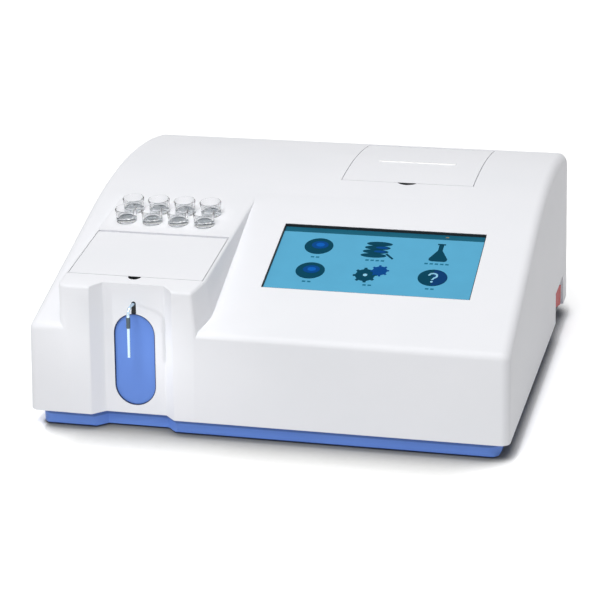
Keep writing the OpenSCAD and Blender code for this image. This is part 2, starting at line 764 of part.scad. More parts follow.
module key_spring() {
    length = key_cross_y[0] - key_flange_y[1] - 1.4;
    turns = 4;
    color([0.72, 0.73, 0.75]) on_front() translate([0, key_flange_y[1] + 0.7, key_z])
        swept([for (i = [0 : 14 * turns]) [5.6 * cos(360 * i / 14), length * i / (14 * turns),
            5.6 * sin(360 * i / 14)]], 0.5, 6);
}

module key_bracket() {
    color([0.66, 0.68, 0.70]) on_front() translate([0, 0, key_z]) difference() {
        half = channel_back - 0.5;
        union() {
            block([-half, half], key_cross_y, [-12, 8]);
            for (s = [-1, 1]) block([s > 0 ? half - 2.5 : -half, s > 0 ? half : -half + 2.5],
                [key_wall, key_cross_y[1]], [-12, 8]);
            block([-8, 8], [key_cross_y[0], key_cross_y[1] + 16], [-12, -10]);
        }
        along_y(key_post_r + key_post_clearance, key_cross_y[0] - cut, key_cross_y[1] + cut);
    }
}

module key_switch() {
    face = key_post_end + key_travel + 1.5;
    color([0.14, 0.14, 0.15]) on_front() translate([0, 0, key_z]) {
        block([-8, 8], [face, face + 8], [-10, 5]);
        along_y(1.2, face - 1.3, face + 1);
    }
}

module sipper_needle() {
    color([0.72, 0.74, 0.76]) on_front() translate([0, -needle_reach, needle_z]) difference() {
        union() {
            along_y(needle_d / 2, needle_bend_r, needle_reach + needle_in);
            translate([0, needle_bend_r, -needle_bend_r]) rotate([90, 0, -90]) rotate_extrude(angle = 90)
                translate([needle_bend_r, 0]) circle(d = needle_d);
            translate([0, 0, needle_tip_z - needle_z])
                cylinder(d = needle_d, h = needle_z - needle_tip_z - needle_bend_r);
        }
        along_y(needle_d / 4, needle_bend_r + 1, needle_reach + needle_in + cut);
        translate([0, 0, needle_tip_z - needle_z - cut])
            cylinder(d = needle_d / 2, h = needle_z - needle_tip_z - needle_bend_r);
    }
}

module needle_sleeve() {
    top = needle_z - needle_bend_r - 0.5;
    color([0.45, 0.47, 0.50]) on_front() translate([0, -needle_reach, top - sleeve_l]) difference() {
        cylinder(r = needle_d / 2 + 0.4, h = sleeve_l);
        translate([0, 0, -cut]) cylinder(r = needle_d / 2 + 0.02, h = sleeve_l + 2 * cut);
    }
}

module sample_cup(i) {
    base = cup_base_d / 2;
    rim = cup_rim_d / 2;
    color([0.85, 0.90, 0.93, 0.5]) on_station() translate(cup_at(i)) rotate_extrude()
        polygon([[0, 0], [base - 0.6, 0], [base, 0.6], [base, cup_seat + 0.2], [rim - 0.25, cup_h - 1.1],
            [rim, cup_h - 0.9],
                 [rim, cup_h - 0.2], [rim - 0.25, cup_h], [rim - 0.9, cup_h], [base - 1.2, 5.4],
                     [base - 2.6, 4.2],
                 [base - 5, 3.7], [0, 3.5]]);
}

module touch_glass() {
    color([0.25, 0.55, 0.68]) on_panel() block([window_x - display_half[0], window_x + display_half[0]],
        [window_mid - display_half[1], window_mid + display_half[1]], [glass_top - glass_t, glass_top]);
}

module display_module() {
    color([0.20, 0.21, 0.23]) on_panel() block([window_x - display_half[0], window_x + display_half[0]],
        [window_mid - display_half[1], window_mid + display_half[1]], [display_top - display_t, display_top]);
}

module display_bracket() {
    half = [post_x + 5, display_half[1]];
    color([0.66, 0.68, 0.70]) on_panel() translate([window_x, window_mid, bracket_top - bracket_t])
        difference() {
        block([-half[0], half[0]], [-half[1], half[1]], [0, bracket_t]);
        block([-half[0] + 24, half[0] - 24], [-half[1] + 14, half[1] - 14], [-cut, bracket_t + cut]);
        for (s = [-1, 1], t = [-1, 1]) translate([s * post_x, t * post_y, -cut])
            cylinder(r = post_r + 0.1, h = bracket_t + 2 * cut);
    }
}

module switch_body() {
    color([0.12, 0.12, 0.13]) difference() {
        union() {
            block([pocket_x, pocket_x + 1.6], [switch_y - switch_l / 2, switch_y + switch_l / 2],
                  [switch_z - switch_h / 2, switch_z + switch_h / 2]);
            block([pocket_x - 22, pocket_x], [switch_y - switch_l / 2 + 1.7, switch_y + switch_l / 2 - 1.7],
                  [switch_z - switch_h / 2 + 1.7, switch_z + switch_h / 2 - 1.7]);
        }
        block([rocker_pivot - 6, case_w], [switch_y - rocker_half - 1.1, switch_y + rocker_half + 1.1],
              [switch_z - rocker_w / 2 - 0.2, switch_z + rocker_w / 2 + 0.2]);
        translate([rocker_pivot, switch_y, switch_z - rocker_w / 2 - 0.9])
            cylinder(r = 1.25, h = rocker_w + 1.8);
    }
}

module power_rocker() {
    color([0.80, 0.10, 0.12]) translate([rocker_pivot, switch_y, switch_z])
        rotate([0, 0, -rocker_throw / 2]) {
        translate([0, 0, -rocker_w / 2]) linear_extrude(rocker_w)
            polygon([[-2, -rocker_half], [3.3, -rocker_half], [1.7, 0], [3.3, rocker_half],
                [-2, rocker_half]]);
        translate([0, 0, -rocker_w / 2 - 0.7]) cylinder(r = 1.2, h = rocker_w + 1.4);
    }
}

module cell_well() {
    color([0.13, 0.13, 0.14]) difference() {
        on_station() difference() {
            block([-well_half - well_t, well_half + well_t], [well_y[0] - well_t, well_y[1] + well_t],
                [well_floor, -lid_frame_t]);
            block([-well_half, well_half], well_y, [well_floor + well_t, cut]);
        }
        block([cell_x - cell_half[0] - 1, cell_x + cell_half[0] + 1],
            [beam_y - cell_half[1] - 1, beam_y + cell_half[1] + 1],
              [deck_z, cell_block_top + 20]);
        on_front() translate([0, 0, needle_z]) along_y(2.4, key_wall + 2, needle_in + 4);
    }
}

module cell_block() {
    color([0.74, 0.75, 0.77]) difference() {
        block([cell_x - cell_half[0], cell_x + cell_half[0]],
            [beam_y - cell_half[1], beam_y + cell_half[1]], [deck_z, cell_block_top]);
        block([cell_x - cell_side / 2 - 0.1, cell_x + cell_side / 2 + 0.1],
            [beam_y - cell_side / 2 - 0.1, beam_y + cell_side / 2 + 0.1],
              [cell_foot, cell_block_top + cut]);
        translate([0, beam_y, beam_z]) along_x(4, cell_x - 30, cell_x + 30);
        translate([cell_x, 0, cell_block_top - 17]) along_y(1, beam_y, beam_y + 20);
    }
}

module flow_cell() {
    color([0.80, 0.87, 0.92]) difference() {
        union() {
            block([cell_x - cell_side / 2, cell_x + cell_side / 2],
                [beam_y - cell_side / 2, beam_y + cell_side / 2], [cell_foot, cell_top]);
            translate([cell_x, beam_y, cell_top - cut]) cylinder(r = 1.4, h = port_top - cell_top + cut);
        }
        translate([cell_x, beam_y, beam_z - 4]) cylinder(r = 0.8, h = 80);
        translate([cell_x, 0, cell_block_top - 17]) along_y(0.8, beam_y, beam_y + 20);
    }
}

module peltier() {
    color([0.90, 0.90, 0.88]) block([cell_x - 15, cell_x + 15],
        [beam_y + cell_half[1], beam_y + cell_half[1] + 4], [beam_z - 15, beam_z + 15]);
}

module heat_sink() {
    y0 = beam_y + cell_half[1] + 4;
    color([0.55, 0.57, 0.60]) {
        block([cell_x - 20, cell_x + 20], [y0, y0 + 5], [deck_z, beam_z + 16]);
        for (i = [0 : 6]) block([cell_x - 20 + i * 6.4, cell_x - 18.4 + i * 6.4], [y0 + 4, y0 + 22],
            [deck_z, beam_z + 16]);
    }
}

module detector_board() {
    x1 = cell_x - cell_half[0] - 3.4;
    color([0.10, 0.36, 0.22]) {
        block([x1 - 1.6, x1], [beam_y - 17, beam_y + 17], [deck_z, beam_z + 22]);
        translate([0, beam_y, beam_z]) along_x(3.6, x1 - 0.2, x1 + 3);
        block([x1 - 4, x1 - 1.5], [beam_y - 8, beam_y + 8], [beam_z - 24, beam_z - 14]);
    }
}

module lamp_house() {
    end = plate_x + 47.5;
    color([0.22, 0.23, 0.25]) difference() {
        union() {
            block([plate_x, plate_x + plate_t], [beam_y - 17, wheel_y + 18], [deck_z, beam_z + 17]);
            block([plate_x - 10, plate_x + 1], [beam_y - 17, wheel_y + 18], [deck_z, deck_z + 2]);
            block([plate_x, end], [beam_y - 11, beam_y + 8], [deck_z, beam_z + 15]);
        }
        translate([0, beam_y, beam_z]) {
            along_x(7, plate_x + 3, plate_x + 8);
            along_x(5, plate_x - cut, plate_x + 8);
            along_x(6.6, plate_x + 7, end + cut);
        }
        translate([0, wheel_y, beam_z]) along_x(4, plate_x - cut, plate_x + plate_t + cut);
    }
}

module halogen_lamp() {
    color([0.92, 0.90, 0.82]) translate([0, beam_y, beam_z]) {
        along_x(4.5, plate_x + 16, plate_x + 30);
        along_x(6.5, plate_x + 30, plate_x + 44);
    }
}

module condenser_lens() {
    color([0.80, 0.88, 0.93]) translate([0, beam_y, beam_z]) along_x(6.9, plate_x + 3.2, plate_x + 6.8);
}

module filter_wheel() {
    color([0.16, 0.16, 0.17]) translate([0, wheel_y, beam_z]) difference() {
        union() {
            along_x(wheel_r, wheel_x, wheel_x + wheel_t);
            along_x(6, wheel_x + wheel_t, wheel_x + wheel_t + 1.5);
            along_x(2, wheel_x, motor_x + 10);
        }
        for (i = [0 : filter_count - 1]) rotate([180 + 360 * i / filter_count, 0, 0])
            translate([0, filter_ring_r, 0])
            along_x(filter_d / 2, wheel_x - cut, wheel_x + wheel_t + cut);
    }
}

module interference_filters() {
    color([0.55, 0.45, 0.70]) translate([0, wheel_y, beam_z]) for (i = [0 : filter_count - 1])
        rotate([180 + 360 * i / filter_count, 0, 0]) translate([0, filter_ring_r, 0])
            along_x(filter_d / 2 - 0.02, wheel_x + 1, wheel_x + 4);
}

module filter_motor() {
    color([0.40, 0.41, 0.43]) translate([0, wheel_y, beam_z]) difference() {
        along_x(filter_motor_r, motor_x, motor_x + 26);
        along_x(2.05, motor_x - cut, motor_x + 12);
    }
}

module on_pump() translate([pump_x, pump_y, 0]) children();

module pump_motor() {
    color([0.40, 0.41, 0.43]) on_pump() difference() {
        translate([0, 0, deck_z]) cylinder(r = 18, h = pump_motor_top - deck_z);
        translate([0, 0, pump_motor_top - 10]) cylinder(r = 3.05, h = 11);
    }
}

module pump_head() {
    color([0.24, 0.25, 0.27]) on_pump() difference() {
        translate([0, 0, pump_motor_top]) union() {
            cylinder(r = track_r + 5, h = head_top - pump_motor_top);
            block([-track_r - 5, track_r + 5], [-pump_leg, 0], [0, head_top - pump_motor_top]);
        }
        translate([0, 0, head_floor]) {
            cylinder(r = track_r, h = head_top);
            block([-track_r, track_r], [-pump_leg - cut, 0], [0, head_top]);
        }
        translate([0, 0, pump_motor_top - cut]) cylinder(r = 5, h = 10);
    }
}

module pump_rotor() {
    color([0.80, 0.80, 0.78]) on_pump() {
        translate([0, 0, pump_motor_top - 9]) cylinder(r = 3, h = head_top - pump_motor_top + 9);
        for (z = [head_floor + 1, head_floor + 11]) translate([0, 0, z])
            cylinder(r = roller_ring_r + 2, h = 2);
        translate([0, 0, head_floor + 1]) cylinder(r = 6, h = 12);
        for (i = [0 : 2]) rotate(120 * i) translate([roller_ring_r, 0, head_floor + 1])
            cylinder(r = 1.5, h = 12);
    }
}

module pump_roller(i) {
    color([0.92, 0.92, 0.90]) on_pump() rotate(120 * i) translate([roller_ring_r, 0, head_floor + 3.2])
        difference() {
        cylinder(d = roller_d, h = 7.6);
        translate([0, 0, -cut]) cylinder(r = 1.55, h = 7.6 + 2 * cut);
    }
}

module pump_tube() {
    color([0.86, 0.84, 0.74]) on_pump() translate([0, 0, pump_mid_z]) {
        rotate_extrude(angle = 180) translate([tube_ring, -2.6]) square([squeezed_t, 5.2]);
        for (s = [-1, 1]) block([s > 0 ? tube_ring : -tube_ring - squeezed_t, s > 0
            ? tube_ring + squeezed_t : -tube_ring],
                                [-pump_leg, 0], [-2.6, 2.6]);
    }
}

module sample_tube() {
    start = [channel_x, (needle_in + 0.4) * cos(front_lean) + needle_z * sin(front_lean),
             case_z + needle_z * cos(front_lean) - needle_in * sin(front_lean)];
    top = port_top + 10;
    color([0.86, 0.88, 0.90]) swept(smooth([start, start + [0, 4.5, 1.2],
        [cell_x, beam_y - 19, (start[2] + top) / 2],
        [cell_x, beam_y - 10, top], [cell_x, beam_y - 2.93, top - 2.93], [cell_x, beam_y, port_top + 0.5]],
            5), 1.4, 10);
}

module drain_tubes() {
    z0 = cell_block_top - 17;
    leg = tube_ring + squeezed_t / 2;
    front = pump_y - pump_leg - 0.2;
    x_in = pump_x + leg;
    x_out = pump_x - leg;
    color([0.86, 0.88, 0.90]) {
        swept(smooth([[cell_x, beam_y + cell_half[1] + 0.1, z0], [cell_x, beam_y + 30, z0 - 0.5],
                      [(cell_x + x_in) / 2, (beam_y + 30 + front) / 2, (z0 + pump_mid_z) / 2],
                      [x_in, front - 9, pump_mid_z + 0.5], [x_in, front, pump_mid_z]], 6), tube_d / 2, 10);
        swept(smooth([[x_out, front, pump_mid_z], [x_out, front - 5, pump_mid_z],
            [x_out - 3, front - 12.1, pump_mid_z],
                      [x_out - 10, front - 15, pump_mid_z], [x_out - 17, front - 12.1, pump_mid_z],
                          [x_out - 20, front - 5, pump_mid_z],
                      [x_out - 20, front + 60, pump_mid_z], [x_out - 20, panel_y - 75, pump_mid_z - 4],
                      [(x_out - 20 + nipple_x) / 2, panel_y - 42, (pump_mid_z + nipple_z) / 2],
                      [nipple_x, panel_y - 22, nipple_z + 0.5],
                          [nipple_x, panel_y - panel_t - 8.4, nipple_z]], 5), tube_d / 2, 10);
    }
}

// An involute spur gear in the Y-Z plane, with a tooth pointing at the given angle.
function involute_angle(base, r) = let (a = acos(min(1, base / r))) tan(a) * 180 / PI - a;
function gear_points(teeth, turn) =
    let (pitch = gear_module * teeth / 2, base = pitch * cos(20), root = pitch - 1.25 * gear_module,
        tip = pitch + 0.9 * gear_module,
         half = 90 / teeth - gear_backlash / pitch * 90 / PI + involute_angle(base, pitch),
         rise = [for (k = [0 : 4]) max(base, root) + (tip - max(base, root)) * k / 4])
    [for (i = [0 : teeth - 1]) let (mid = turn + 360 * i / teeth)
        each concat([root * [cos(mid - half), sin(mid - half)]],
                    [for (r = rise) let (a = mid - half + involute_angle(base, r)) r * [cos(a), sin(a)]],
                    [for (k = [4 : -1 : 0]) let (a = mid + half - involute_angle(base, rise[k]))
                        rise[k] * [cos(a), sin(a)]],
                    [root * [cos(mid + half), sin(mid + half)]])];
module gear(teeth, turn, x) translate([(x[0] + x[1]) / 2, 0, 0])
    across(x[1] - x[0], gear_points(teeth, turn));

module printer_frame() {
    outer = bucket_half + bucket_t;
    color([0.20, 0.21, 0.23]) translate([door_x, 0, 0]) difference() {
        union() {
            difference() {
                block([-outer, outer], [bucket_y[0] - bucket_t, bucket_y[1] + bucket_t],
                    [bucket_floor - bucket_t, bucket_top]);
                block([-bucket_half, bucket_half], bucket_y, [bucket_floor, bucket_top + cut]);
            }
            block([-27, 27], [slot_y - 2.3, slot_y + 0.2], [bucket_floor - cut, platen_z - 14.05]);
            block(printer_motor_x, [pinion_y - 5, pinion_y + 5],
                [bucket_floor - cut, pinion_z - printer_motor_r - 0.1]);
            for (s = [-1, 1], y = [bucket_y[0] + 6, bucket_y[1] - 6]) translate([s * 40, y, deck_z])
                cylinder(r = 4, h = bucket_floor - deck_z - 0.5);
        }
        translate([0, platen_y, platen_z]) along_x(2.05, -outer - cut, outer + cut);
    }
}

module print_head() {
    color([0.60, 0.58, 0.52]) translate([door_x, 0, 0])
        block([-27, 27], [slot_y - 2.3, slot_y + 0.2], [platen_z - 14, platen_z + 6]);
}

module platen_roller() {
    color([0.15, 0.15, 0.16]) translate([door_x, platen_y, platen_z]) {
        along_x(platen_d / 2, -29.5, 29.5);
        along_x(2, -bucket_half - bucket_t, bucket_half + bucket_t);
        gear(platen_teeth, 180 + gear_drop, gear_x);
    }
}

module motor_pinion() {
    color([0.85, 0.83, 0.76]) translate([door_x, pinion_y, pinion_z]) {
        gear(pinion_teeth, gear_drop + 180 / pinion_teeth, gear_x);
        along_x(1.5, gear_x[0], printer_motor_x[0] + 10);
    }
}

module printer_motor() {
    color([0.40, 0.41, 0.43]) translate([door_x, pinion_y, pinion_z]) difference() {
        along_x(printer_motor_r, printer_motor_x[0], printer_motor_x[1]);
        along_x(1.55, printer_motor_x[0] - cut, printer_motor_x[0] + 11);
    }
}

module paper_roll() {
    color([0.96, 0.96, 0.95]) translate([door_x, roll_y, roll_z]) difference() {
        along_x(roll_d / 2, -roll_w / 2, roll_w / 2);
        along_x(6, -roll_w, roll_w);
    }
}

module main_board() {
    x = [8, case_w / 2 - 26];
    y = [40, 180];
    post_in = 6;
    color([0.10, 0.36, 0.22]) {
        block(x, y, [deck_z + 6, deck_z + 7.6]);
        for (px = [x[0] + post_in, x[1] - post_in], py = [y[0] + post_in, y[1] - post_in])
            translate([px, py, deck_z]) cylinder(r = 3, h = 6.5);
        for (p = [[30, 70, 24], [70, 110, 18], [100, 60, 14], [110, 140, 20]])
            block([p[0], p[0] + p[2]], [p[1], p[1] + p[2]], [deck_z + 7, deck_z + 9.4]);
        block([20, 60], [160, 170], [deck_z + 7, deck_z + 16]);
    }
}

module power_supply() {
    supply_w = 36;
    supply_l = 100;
    post_in = 5;
    x0 = case_w / 2 - 30 - supply_w;
    y0 = case_d - 45 - supply_l;
    color([0.16, 0.30, 0.20]) {
        block([x0, x0 + supply_w], [y0, y0 + supply_l], [deck_z + 5, deck_z + 6.6]);
        for (x = [x0 + post_in, x0 + supply_w - post_in], y = [y0 + post_in, y0 + supply_l - post_in])
            translate([x, y, deck_z]) cylinder(r = 3, h = 5.5);
        block([x0 + 3, x0 + 33], [y0 + 14, y0 + 50], [deck_z + 6, deck_z + 40]);
        for (y = [y0 + 62, y0 + 80]) translate([x0 + 11, y, deck_z + 6]) cylinder(r = 7, h = 28);
        block([x0 + 24, x0 + 28], [y0 + 56, y0 + 90], [deck_z + 6, deck_z + 36]);
    }
}

module mains_inlet() {
    color([0.12, 0.12, 0.13]) translate([inlet_x, panel_y, inlet_z]) {
        difference() {
            union() {
                block([-16, 16], [0, 2], [-12.5, 12.5]);
                block([-13.5, 13.5], [-22, 0.5], [-10, 10]);
            }
            block([-12, 12], [-16, 3], [-8.2, 8.2]);
        }
        for (p = [[-7, -2], [0, 2], [7, -2]]) block([p[0] - 1, p[0] + 1], [-17, -3], [p[1] - 2, p[1] + 2]);
    }
}

module fan_frame() {
    half = fan_side / 2;
    color([0.13, 0.13, 0.14]) translate([fan_x, fan_y, fan_z]) {
        difference() {
            block([-half, half], [0, fan_t], [-half, half]);
            along_y(half - 2, -cut, fan_t + cut);
        }
        difference() {
            union() {
                along_y(10.5, 0, 2);
                for (i = [0 : 2]) rotate([0, 120 * i, 0]) block([8, half - 1], [0, 2], [-1.5, 1.5]);
            }
            along_y(2.05, -cut, 2 + cut);
        }
    }
}

module fan_rotor() {
    half = fan_side / 2;
    color([0.18, 0.18, 0.19]) translate([fan_x, fan_y, fan_z]) intersection() {
        union() {
            along_y(11, 2.5, fan_t - 1);
            along_y(2, 0.2, 4);
            for (i = [0 : 6]) rotate([0, 360 * i / 7, 0]) translate([0, 8, 0]) rotate([38, 0, 0])
                translate([0, -8, 0]) block([9, half - 3], [2.6, 13.2], [-0.6, 0.6]);
        }
        along_y(half - 3.5, 0, fan_t - 1);
    }
}

// The node to show, or all of them

module placed() translate([0, y_shift, 0]) children();

placed() upper_housing();
placed() base_tray();
placed() rubber_feet();
placed() case_screws();
placed() chassis_plate();
placed() rear_panel();
placed() sample_lid();
placed() printer_door();
placed() hinge_pins();
placed() sample_key();
placed() key_spring();
placed() key_bracket();
placed() key_switch();
placed() sipper_needle();
placed() needle_sleeve();
placed() sample_cup(0);  // sample_cup_1
placed() sample_cup(1);  // sample_cup_2
placed() sample_cup(2);  // sample_cup_3
placed() sample_cup(3);  // sample_cup_4
placed() sample_cup(4);  // sample_cup_5
placed() sample_cup(5);  // sample_cup_6
placed() sample_cup(6);  // sample_cup_7
placed() sample_cup(7);  // sample_cup_8
placed() touch_glass();
placed() display_module();
placed() display_bracket();
placed() switch_body();
placed() power_rocker();
placed() cell_well();
placed() cell_block();
placed() flow_cell();
placed() peltier();
placed() heat_sink();
placed() detector_board();
placed() lamp_house();
placed() halogen_lamp();
placed() condenser_lens();
placed() filter_wheel();
placed() interference_filters();
placed() filter_motor();
placed() pump_motor();
placed() pump_head();
placed() pump_rotor();
placed() pump_roller(0);  // pump_roller_1
placed() pump_roller(1);  // pump_roller_2
placed() pump_roller(2);  // pump_roller_3
placed() pump_tube();
placed() sample_tube();
placed() drain_tubes();
placed() printer_frame();
placed() print_head();
placed() platen_roller();
placed() motor_pinion();
placed() printer_motor();
placed() paper_roll();
placed() main_board();
placed() power_supply();
placed() mains_inlet();
placed() fan_frame();
placed() fan_rotor();
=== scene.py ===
# Looks of the bench chemistry analyzer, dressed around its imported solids.
# Lengths are written in millimetres and turned to metres by MM, unless a comment says metres.
import math

import bmesh
import bpy
from mathutils import Matrix, Vector


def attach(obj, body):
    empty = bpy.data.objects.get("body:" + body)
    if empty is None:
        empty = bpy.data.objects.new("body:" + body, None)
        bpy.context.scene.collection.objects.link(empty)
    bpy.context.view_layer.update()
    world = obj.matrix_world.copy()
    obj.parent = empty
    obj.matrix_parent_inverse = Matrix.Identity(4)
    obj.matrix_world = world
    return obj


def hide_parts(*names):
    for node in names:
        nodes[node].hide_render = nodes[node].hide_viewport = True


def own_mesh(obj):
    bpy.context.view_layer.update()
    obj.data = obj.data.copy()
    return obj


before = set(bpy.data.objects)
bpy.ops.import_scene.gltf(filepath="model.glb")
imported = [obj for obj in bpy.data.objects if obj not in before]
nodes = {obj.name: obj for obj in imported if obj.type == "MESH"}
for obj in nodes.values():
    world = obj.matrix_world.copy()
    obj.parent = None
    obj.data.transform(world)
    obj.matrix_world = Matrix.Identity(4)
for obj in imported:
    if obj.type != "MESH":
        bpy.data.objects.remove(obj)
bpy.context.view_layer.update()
MM = 0.001

# Places on the case, as in the part's source: Y is counted from the case's front and Z from the bench.
# Y_SHIFT moves them to the shared frame, whose origin lies under the middle of the part.
Y_SHIFT = -171.98
PANEL_Y = 3.02
PANEL_Z = 79.5
PANEL_SLOPE = 18.0
WINDOW_X = 61.7
WINDOW_FRONT = 61.3
WINDOW_W = 155.0
WINDOW_H = 82.3
GLASS_TOP = -2.55
FRONT_LEAN = 2.6
CHANNEL_X = -98.2
CHANNEL_DEPTH = 8.5
CASE_Z = 13.0
KEY_TOP = 76.3
KEY_MID = 41.4
KEY_W = 31.2
KEY_H = 69.8
KEY_GAP = 0.7
NEEDLE_Z = 83.9
STATION_X = -100.5
STATION_Y = 4.405
STATION_Z = 110.0
STATION_SLOPE = 8.2
LID_FRONT = 21.0
LID_NOTCH_R = 5.0
LID_NOTCH_DEPTH = 4.75
DOOR_X = 65.3
DOOR_FRONT = 208.5
DOOR_NOTCH_R = 10.0
DOOR_NOTCH_MID = 6.0
DOOR_NOTCH_HALF = 8.0
DOOR_NOTCH_DEPTH = 4.0
COVER_LIP = 2.2
SLOT_Y = 256.5
SLOT_HALF = 30.0
CROWN_R = 360.0
CROWN_MID = (260.784, -215.272)
FAN_X = -70.0
FAN_Z = 62.0
REAR_FACE = 337.4


def tilted_frame(x, y, z, tilt):
    """A frame on the case, tilted about X by degrees, at a place counted from the front and the bench."""
    spot = Vector((x, y + Y_SHIFT, z)) * MM
    return Matrix.Translation(spot) @ Matrix.Rotation(math.radians(tilt), 4, "X")


def roof_frame(x, y):
    """A frame on the crown of the roof, its Z axis square to the roof."""
    run = y - CROWN_MID[0]
    rise = math.sqrt(CROWN_R ** 2 - run ** 2)
    return tilted_frame(x, y, CROWN_MID[1] + rise, math.degrees(math.atan2(-run, rise)))


STAND_UP = Matrix.Rotation(math.radians(90), 4, "X")
ALONG_X = Matrix(((0, 0, 1, 0), (1, 0, 0, 0), (0, 1, 0, 0), (0, 0, 0, 1)))
TURN_BACK = Matrix.Rotation(math.radians(180), 4, "Z")
PANEL = tilted_frame(0, PANEL_Y, PANEL_Z, PANEL_SLOPE)
SCREEN = PANEL @ Matrix.Translation(Vector((WINDOW_X - WINDOW_W / 2, WINDOW_FRONT, GLASS_TOP)) * MM)
STATION = tilted_frame(STATION_X, STATION_Y, STATION_Z, STATION_SLOPE)
LID_EDGE = STATION @ Matrix.Translation(Vector((0, LID_FRONT, 0)) * MM)
DOOR_EDGE = roof_frame(DOOR_X, DOOR_FRONT)
PAPER_SLOT = roof_frame(DOOR_X, SLOT_Y)
CHANNEL = tilted_frame(CHANNEL_X, 0, CASE_Z, -FRONT_LEAN) @ STAND_UP
REAR = tilted_frame(0, REAR_FACE, 0, 0) @ TURN_BACK @ STAND_UP

# Camera: the photograph's viewpoint, in the same frame. The far clip is in metres.
CAMERA_AZIMUTH = 13.8
CAMERA_ELEVATION = 18.99
CAMERA_ROLL = -0.88
CAMERA_EYE = (367.84, -1552.51, 601.18)
CAMERA_LENS = 128.64
CAMERA_SENSOR = 36
CAMERA_FAR = 20


def make_camera():
    """The camera, turned by its azimuth, elevation and roll."""
    a = math.radians(CAMERA_AZIMUTH)
    e = math.radians(CAMERA_ELEVATION)
    r = math.radians(CAMERA_ROLL)
    back = Vector((math.sin(a) * math.cos(e), -math.cos(a) * math.cos(e), math.sin(e)))
    right = Vector((math.cos(a), math.sin(a), 0))
    up = back.cross(right)
    side = right * math.cos(r) + up * math.sin(r)
    top = up * math.cos(r) - right * math.sin(r)
    data = bpy.data.cameras.new("photo_camera")
    data.sensor_width = CAMERA_SENSOR
    data.lens = CAMERA_LENS
    data.clip_end = CAMERA_FAR
    camera = bpy.data.objects.new("photo_camera", data)
    turn = Matrix((side, top, back)).transposed().to_4x4()
    camera.matrix_world = Matrix.Translation(Vector(CAMERA_EYE) * MM) @ turn
    bpy.context.scene.collection.objects.link(camera)
    bpy.context.scene.camera = camera


make_camera()


# Materials.
def linear(colour):
    """Turns an sRGB hex value into linear red, green, blue and alpha."""
    channels = [int(colour[i:i + 2], 16) / 255 for i in (1, 3, 5)]
    return [c / 12.92 if c <= 0.04045 else ((c + 0.055) / 1.055) ** 2.4 for c in channels] + [1.0]


def add(tree, kind, sockets=None, **settings):
    """Adds one node with its settings, and fills its sockets with values or with links from other nodes."""
    node = tree.nodes.new(kind)
    for name, value in settings.items():
        setattr(node, name, value)
    for key, value in (sockets or {}).items():
        if isinstance(value, tuple) and isinstance(value[0], bpy.types.NodeSocket):
            for socket in value:
                tree.links.new(socket, node.inputs[key])
        elif isinstance(value, bpy.types.NodeSocket):
            tree.links.new(value, node.inputs[key])
        else:
            node.inputs[key].default_value = value
    return node


def new_material(name):
    """A material with its shader and its Object coordinates."""
    material = bpy.data.materials.new(name)
    material.use_nodes = True
    tree = material.node_tree
    tree.nodes.clear()
    coords = add(tree, "ShaderNodeTexCoord").outputs["Object"]
    shader = add(tree, "ShaderNodeBsdfPrincipled")
    add(tree, "ShaderNodeOutputMaterial", {"Surface": shader.outputs["BSDF"]})
    return material, tree, shader, coords


# The grain's noise between these two values spans the range of roughness.
GRAIN_SPAN = (0.3, 0.7)
GRAIN_BUMP = 0.35


def mottled(name, pale, deep, patch, grain, depth, rough, **values):
    """A surface with slow colour patches and a fine grain: patch, grain and depth are millimetres."""
    material, tree, shader, coords = new_material(name)
    patches = add(tree, "ShaderNodeTexNoise", {"Vector": coords, "Scale": 1 / (patch * MM), "Detail": 3.0})
    colour = add(tree, "ShaderNodeMix", {
        "Factor": patches.outputs["Fac"], "A": linear(pale), "B": linear(deep),
    }, data_type="RGBA")
    grains = add(tree, "ShaderNodeTexNoise", {"Vector": coords, "Scale": 1 / (grain * MM), "Detail": 2.0})
    sheen = add(tree, "ShaderNodeMapRange", {
        "Value": grains.outputs["Fac"], "From Min": GRAIN_SPAN[0], "From Max": GRAIN_SPAN[1],
        "To Min": rough[0], "To Max": rough[1],
    })
    bump = add(tree, "ShaderNodeBump", {
        "Height": grains.outputs["Fac"], "Strength": GRAIN_BUMP, "Distance": depth * MM,
    })
    tree.links.new(colour.outputs["Result"], shader.inputs["Base Color"])
    tree.links.new(sheen.outputs["Result"], shader.inputs["Roughness"])
    tree.links.new(bump.outputs["Normal"], shader.inputs["Normal"])
    for key, value in values.items():
        shader.inputs[key.replace("_", " ")].default_value = value
    return material


PAINTED_RIM_SHADE = 0.7


def paint_groove_shadow(material, low, high, tint):
    """Paints a shadow into a moulding's colour between two heights in millimetres, where a groove keeps the
    light off it.
    """
    tree = material.node_tree
    colour = tree.nodes["Principled BSDF"].inputs["Base Color"]
    place = add(tree, "ShaderNodeTexCoord")
    height = add(tree, "ShaderNodeSeparateXYZ", {"Vector": place.outputs["Object"]})
    dark = add(tree, "ShaderNodeMapRange", {
        "Value": height.outputs["Z"], "From Min": low * MM, "From Max": high * MM, "To Max": PAINTED_RIM_SHADE,
    })
    tone = add(tree, "ShaderNodeMix", {
        "Factor": dark.outputs["Result"], "A": colour.links[0].from_socket, "B": linear(tint),
    }, data_type="RGBA")
    tree.links.new(tone.outputs["Result"], colour)


def lit_print(name, pale, deep, glow):
    """One tone of the display's picture: patches of a backlit colour."""
    material = mottled(name, pale, deep, 18, 0.8, 0.01, (0.2, 0.26), Specular_IOR_Level=0.02)
    shader = material.node_tree.nodes["Principled BSDF"]
    shader.inputs["Emission Color"].default_value = linear(pale)
    shader.inputs["Emission Strength"].default_value = glow
    return material


# Brush marks in each metre, across and along the needle.
BRUSH_MARKS = (900.0, 900.0, 60.0)


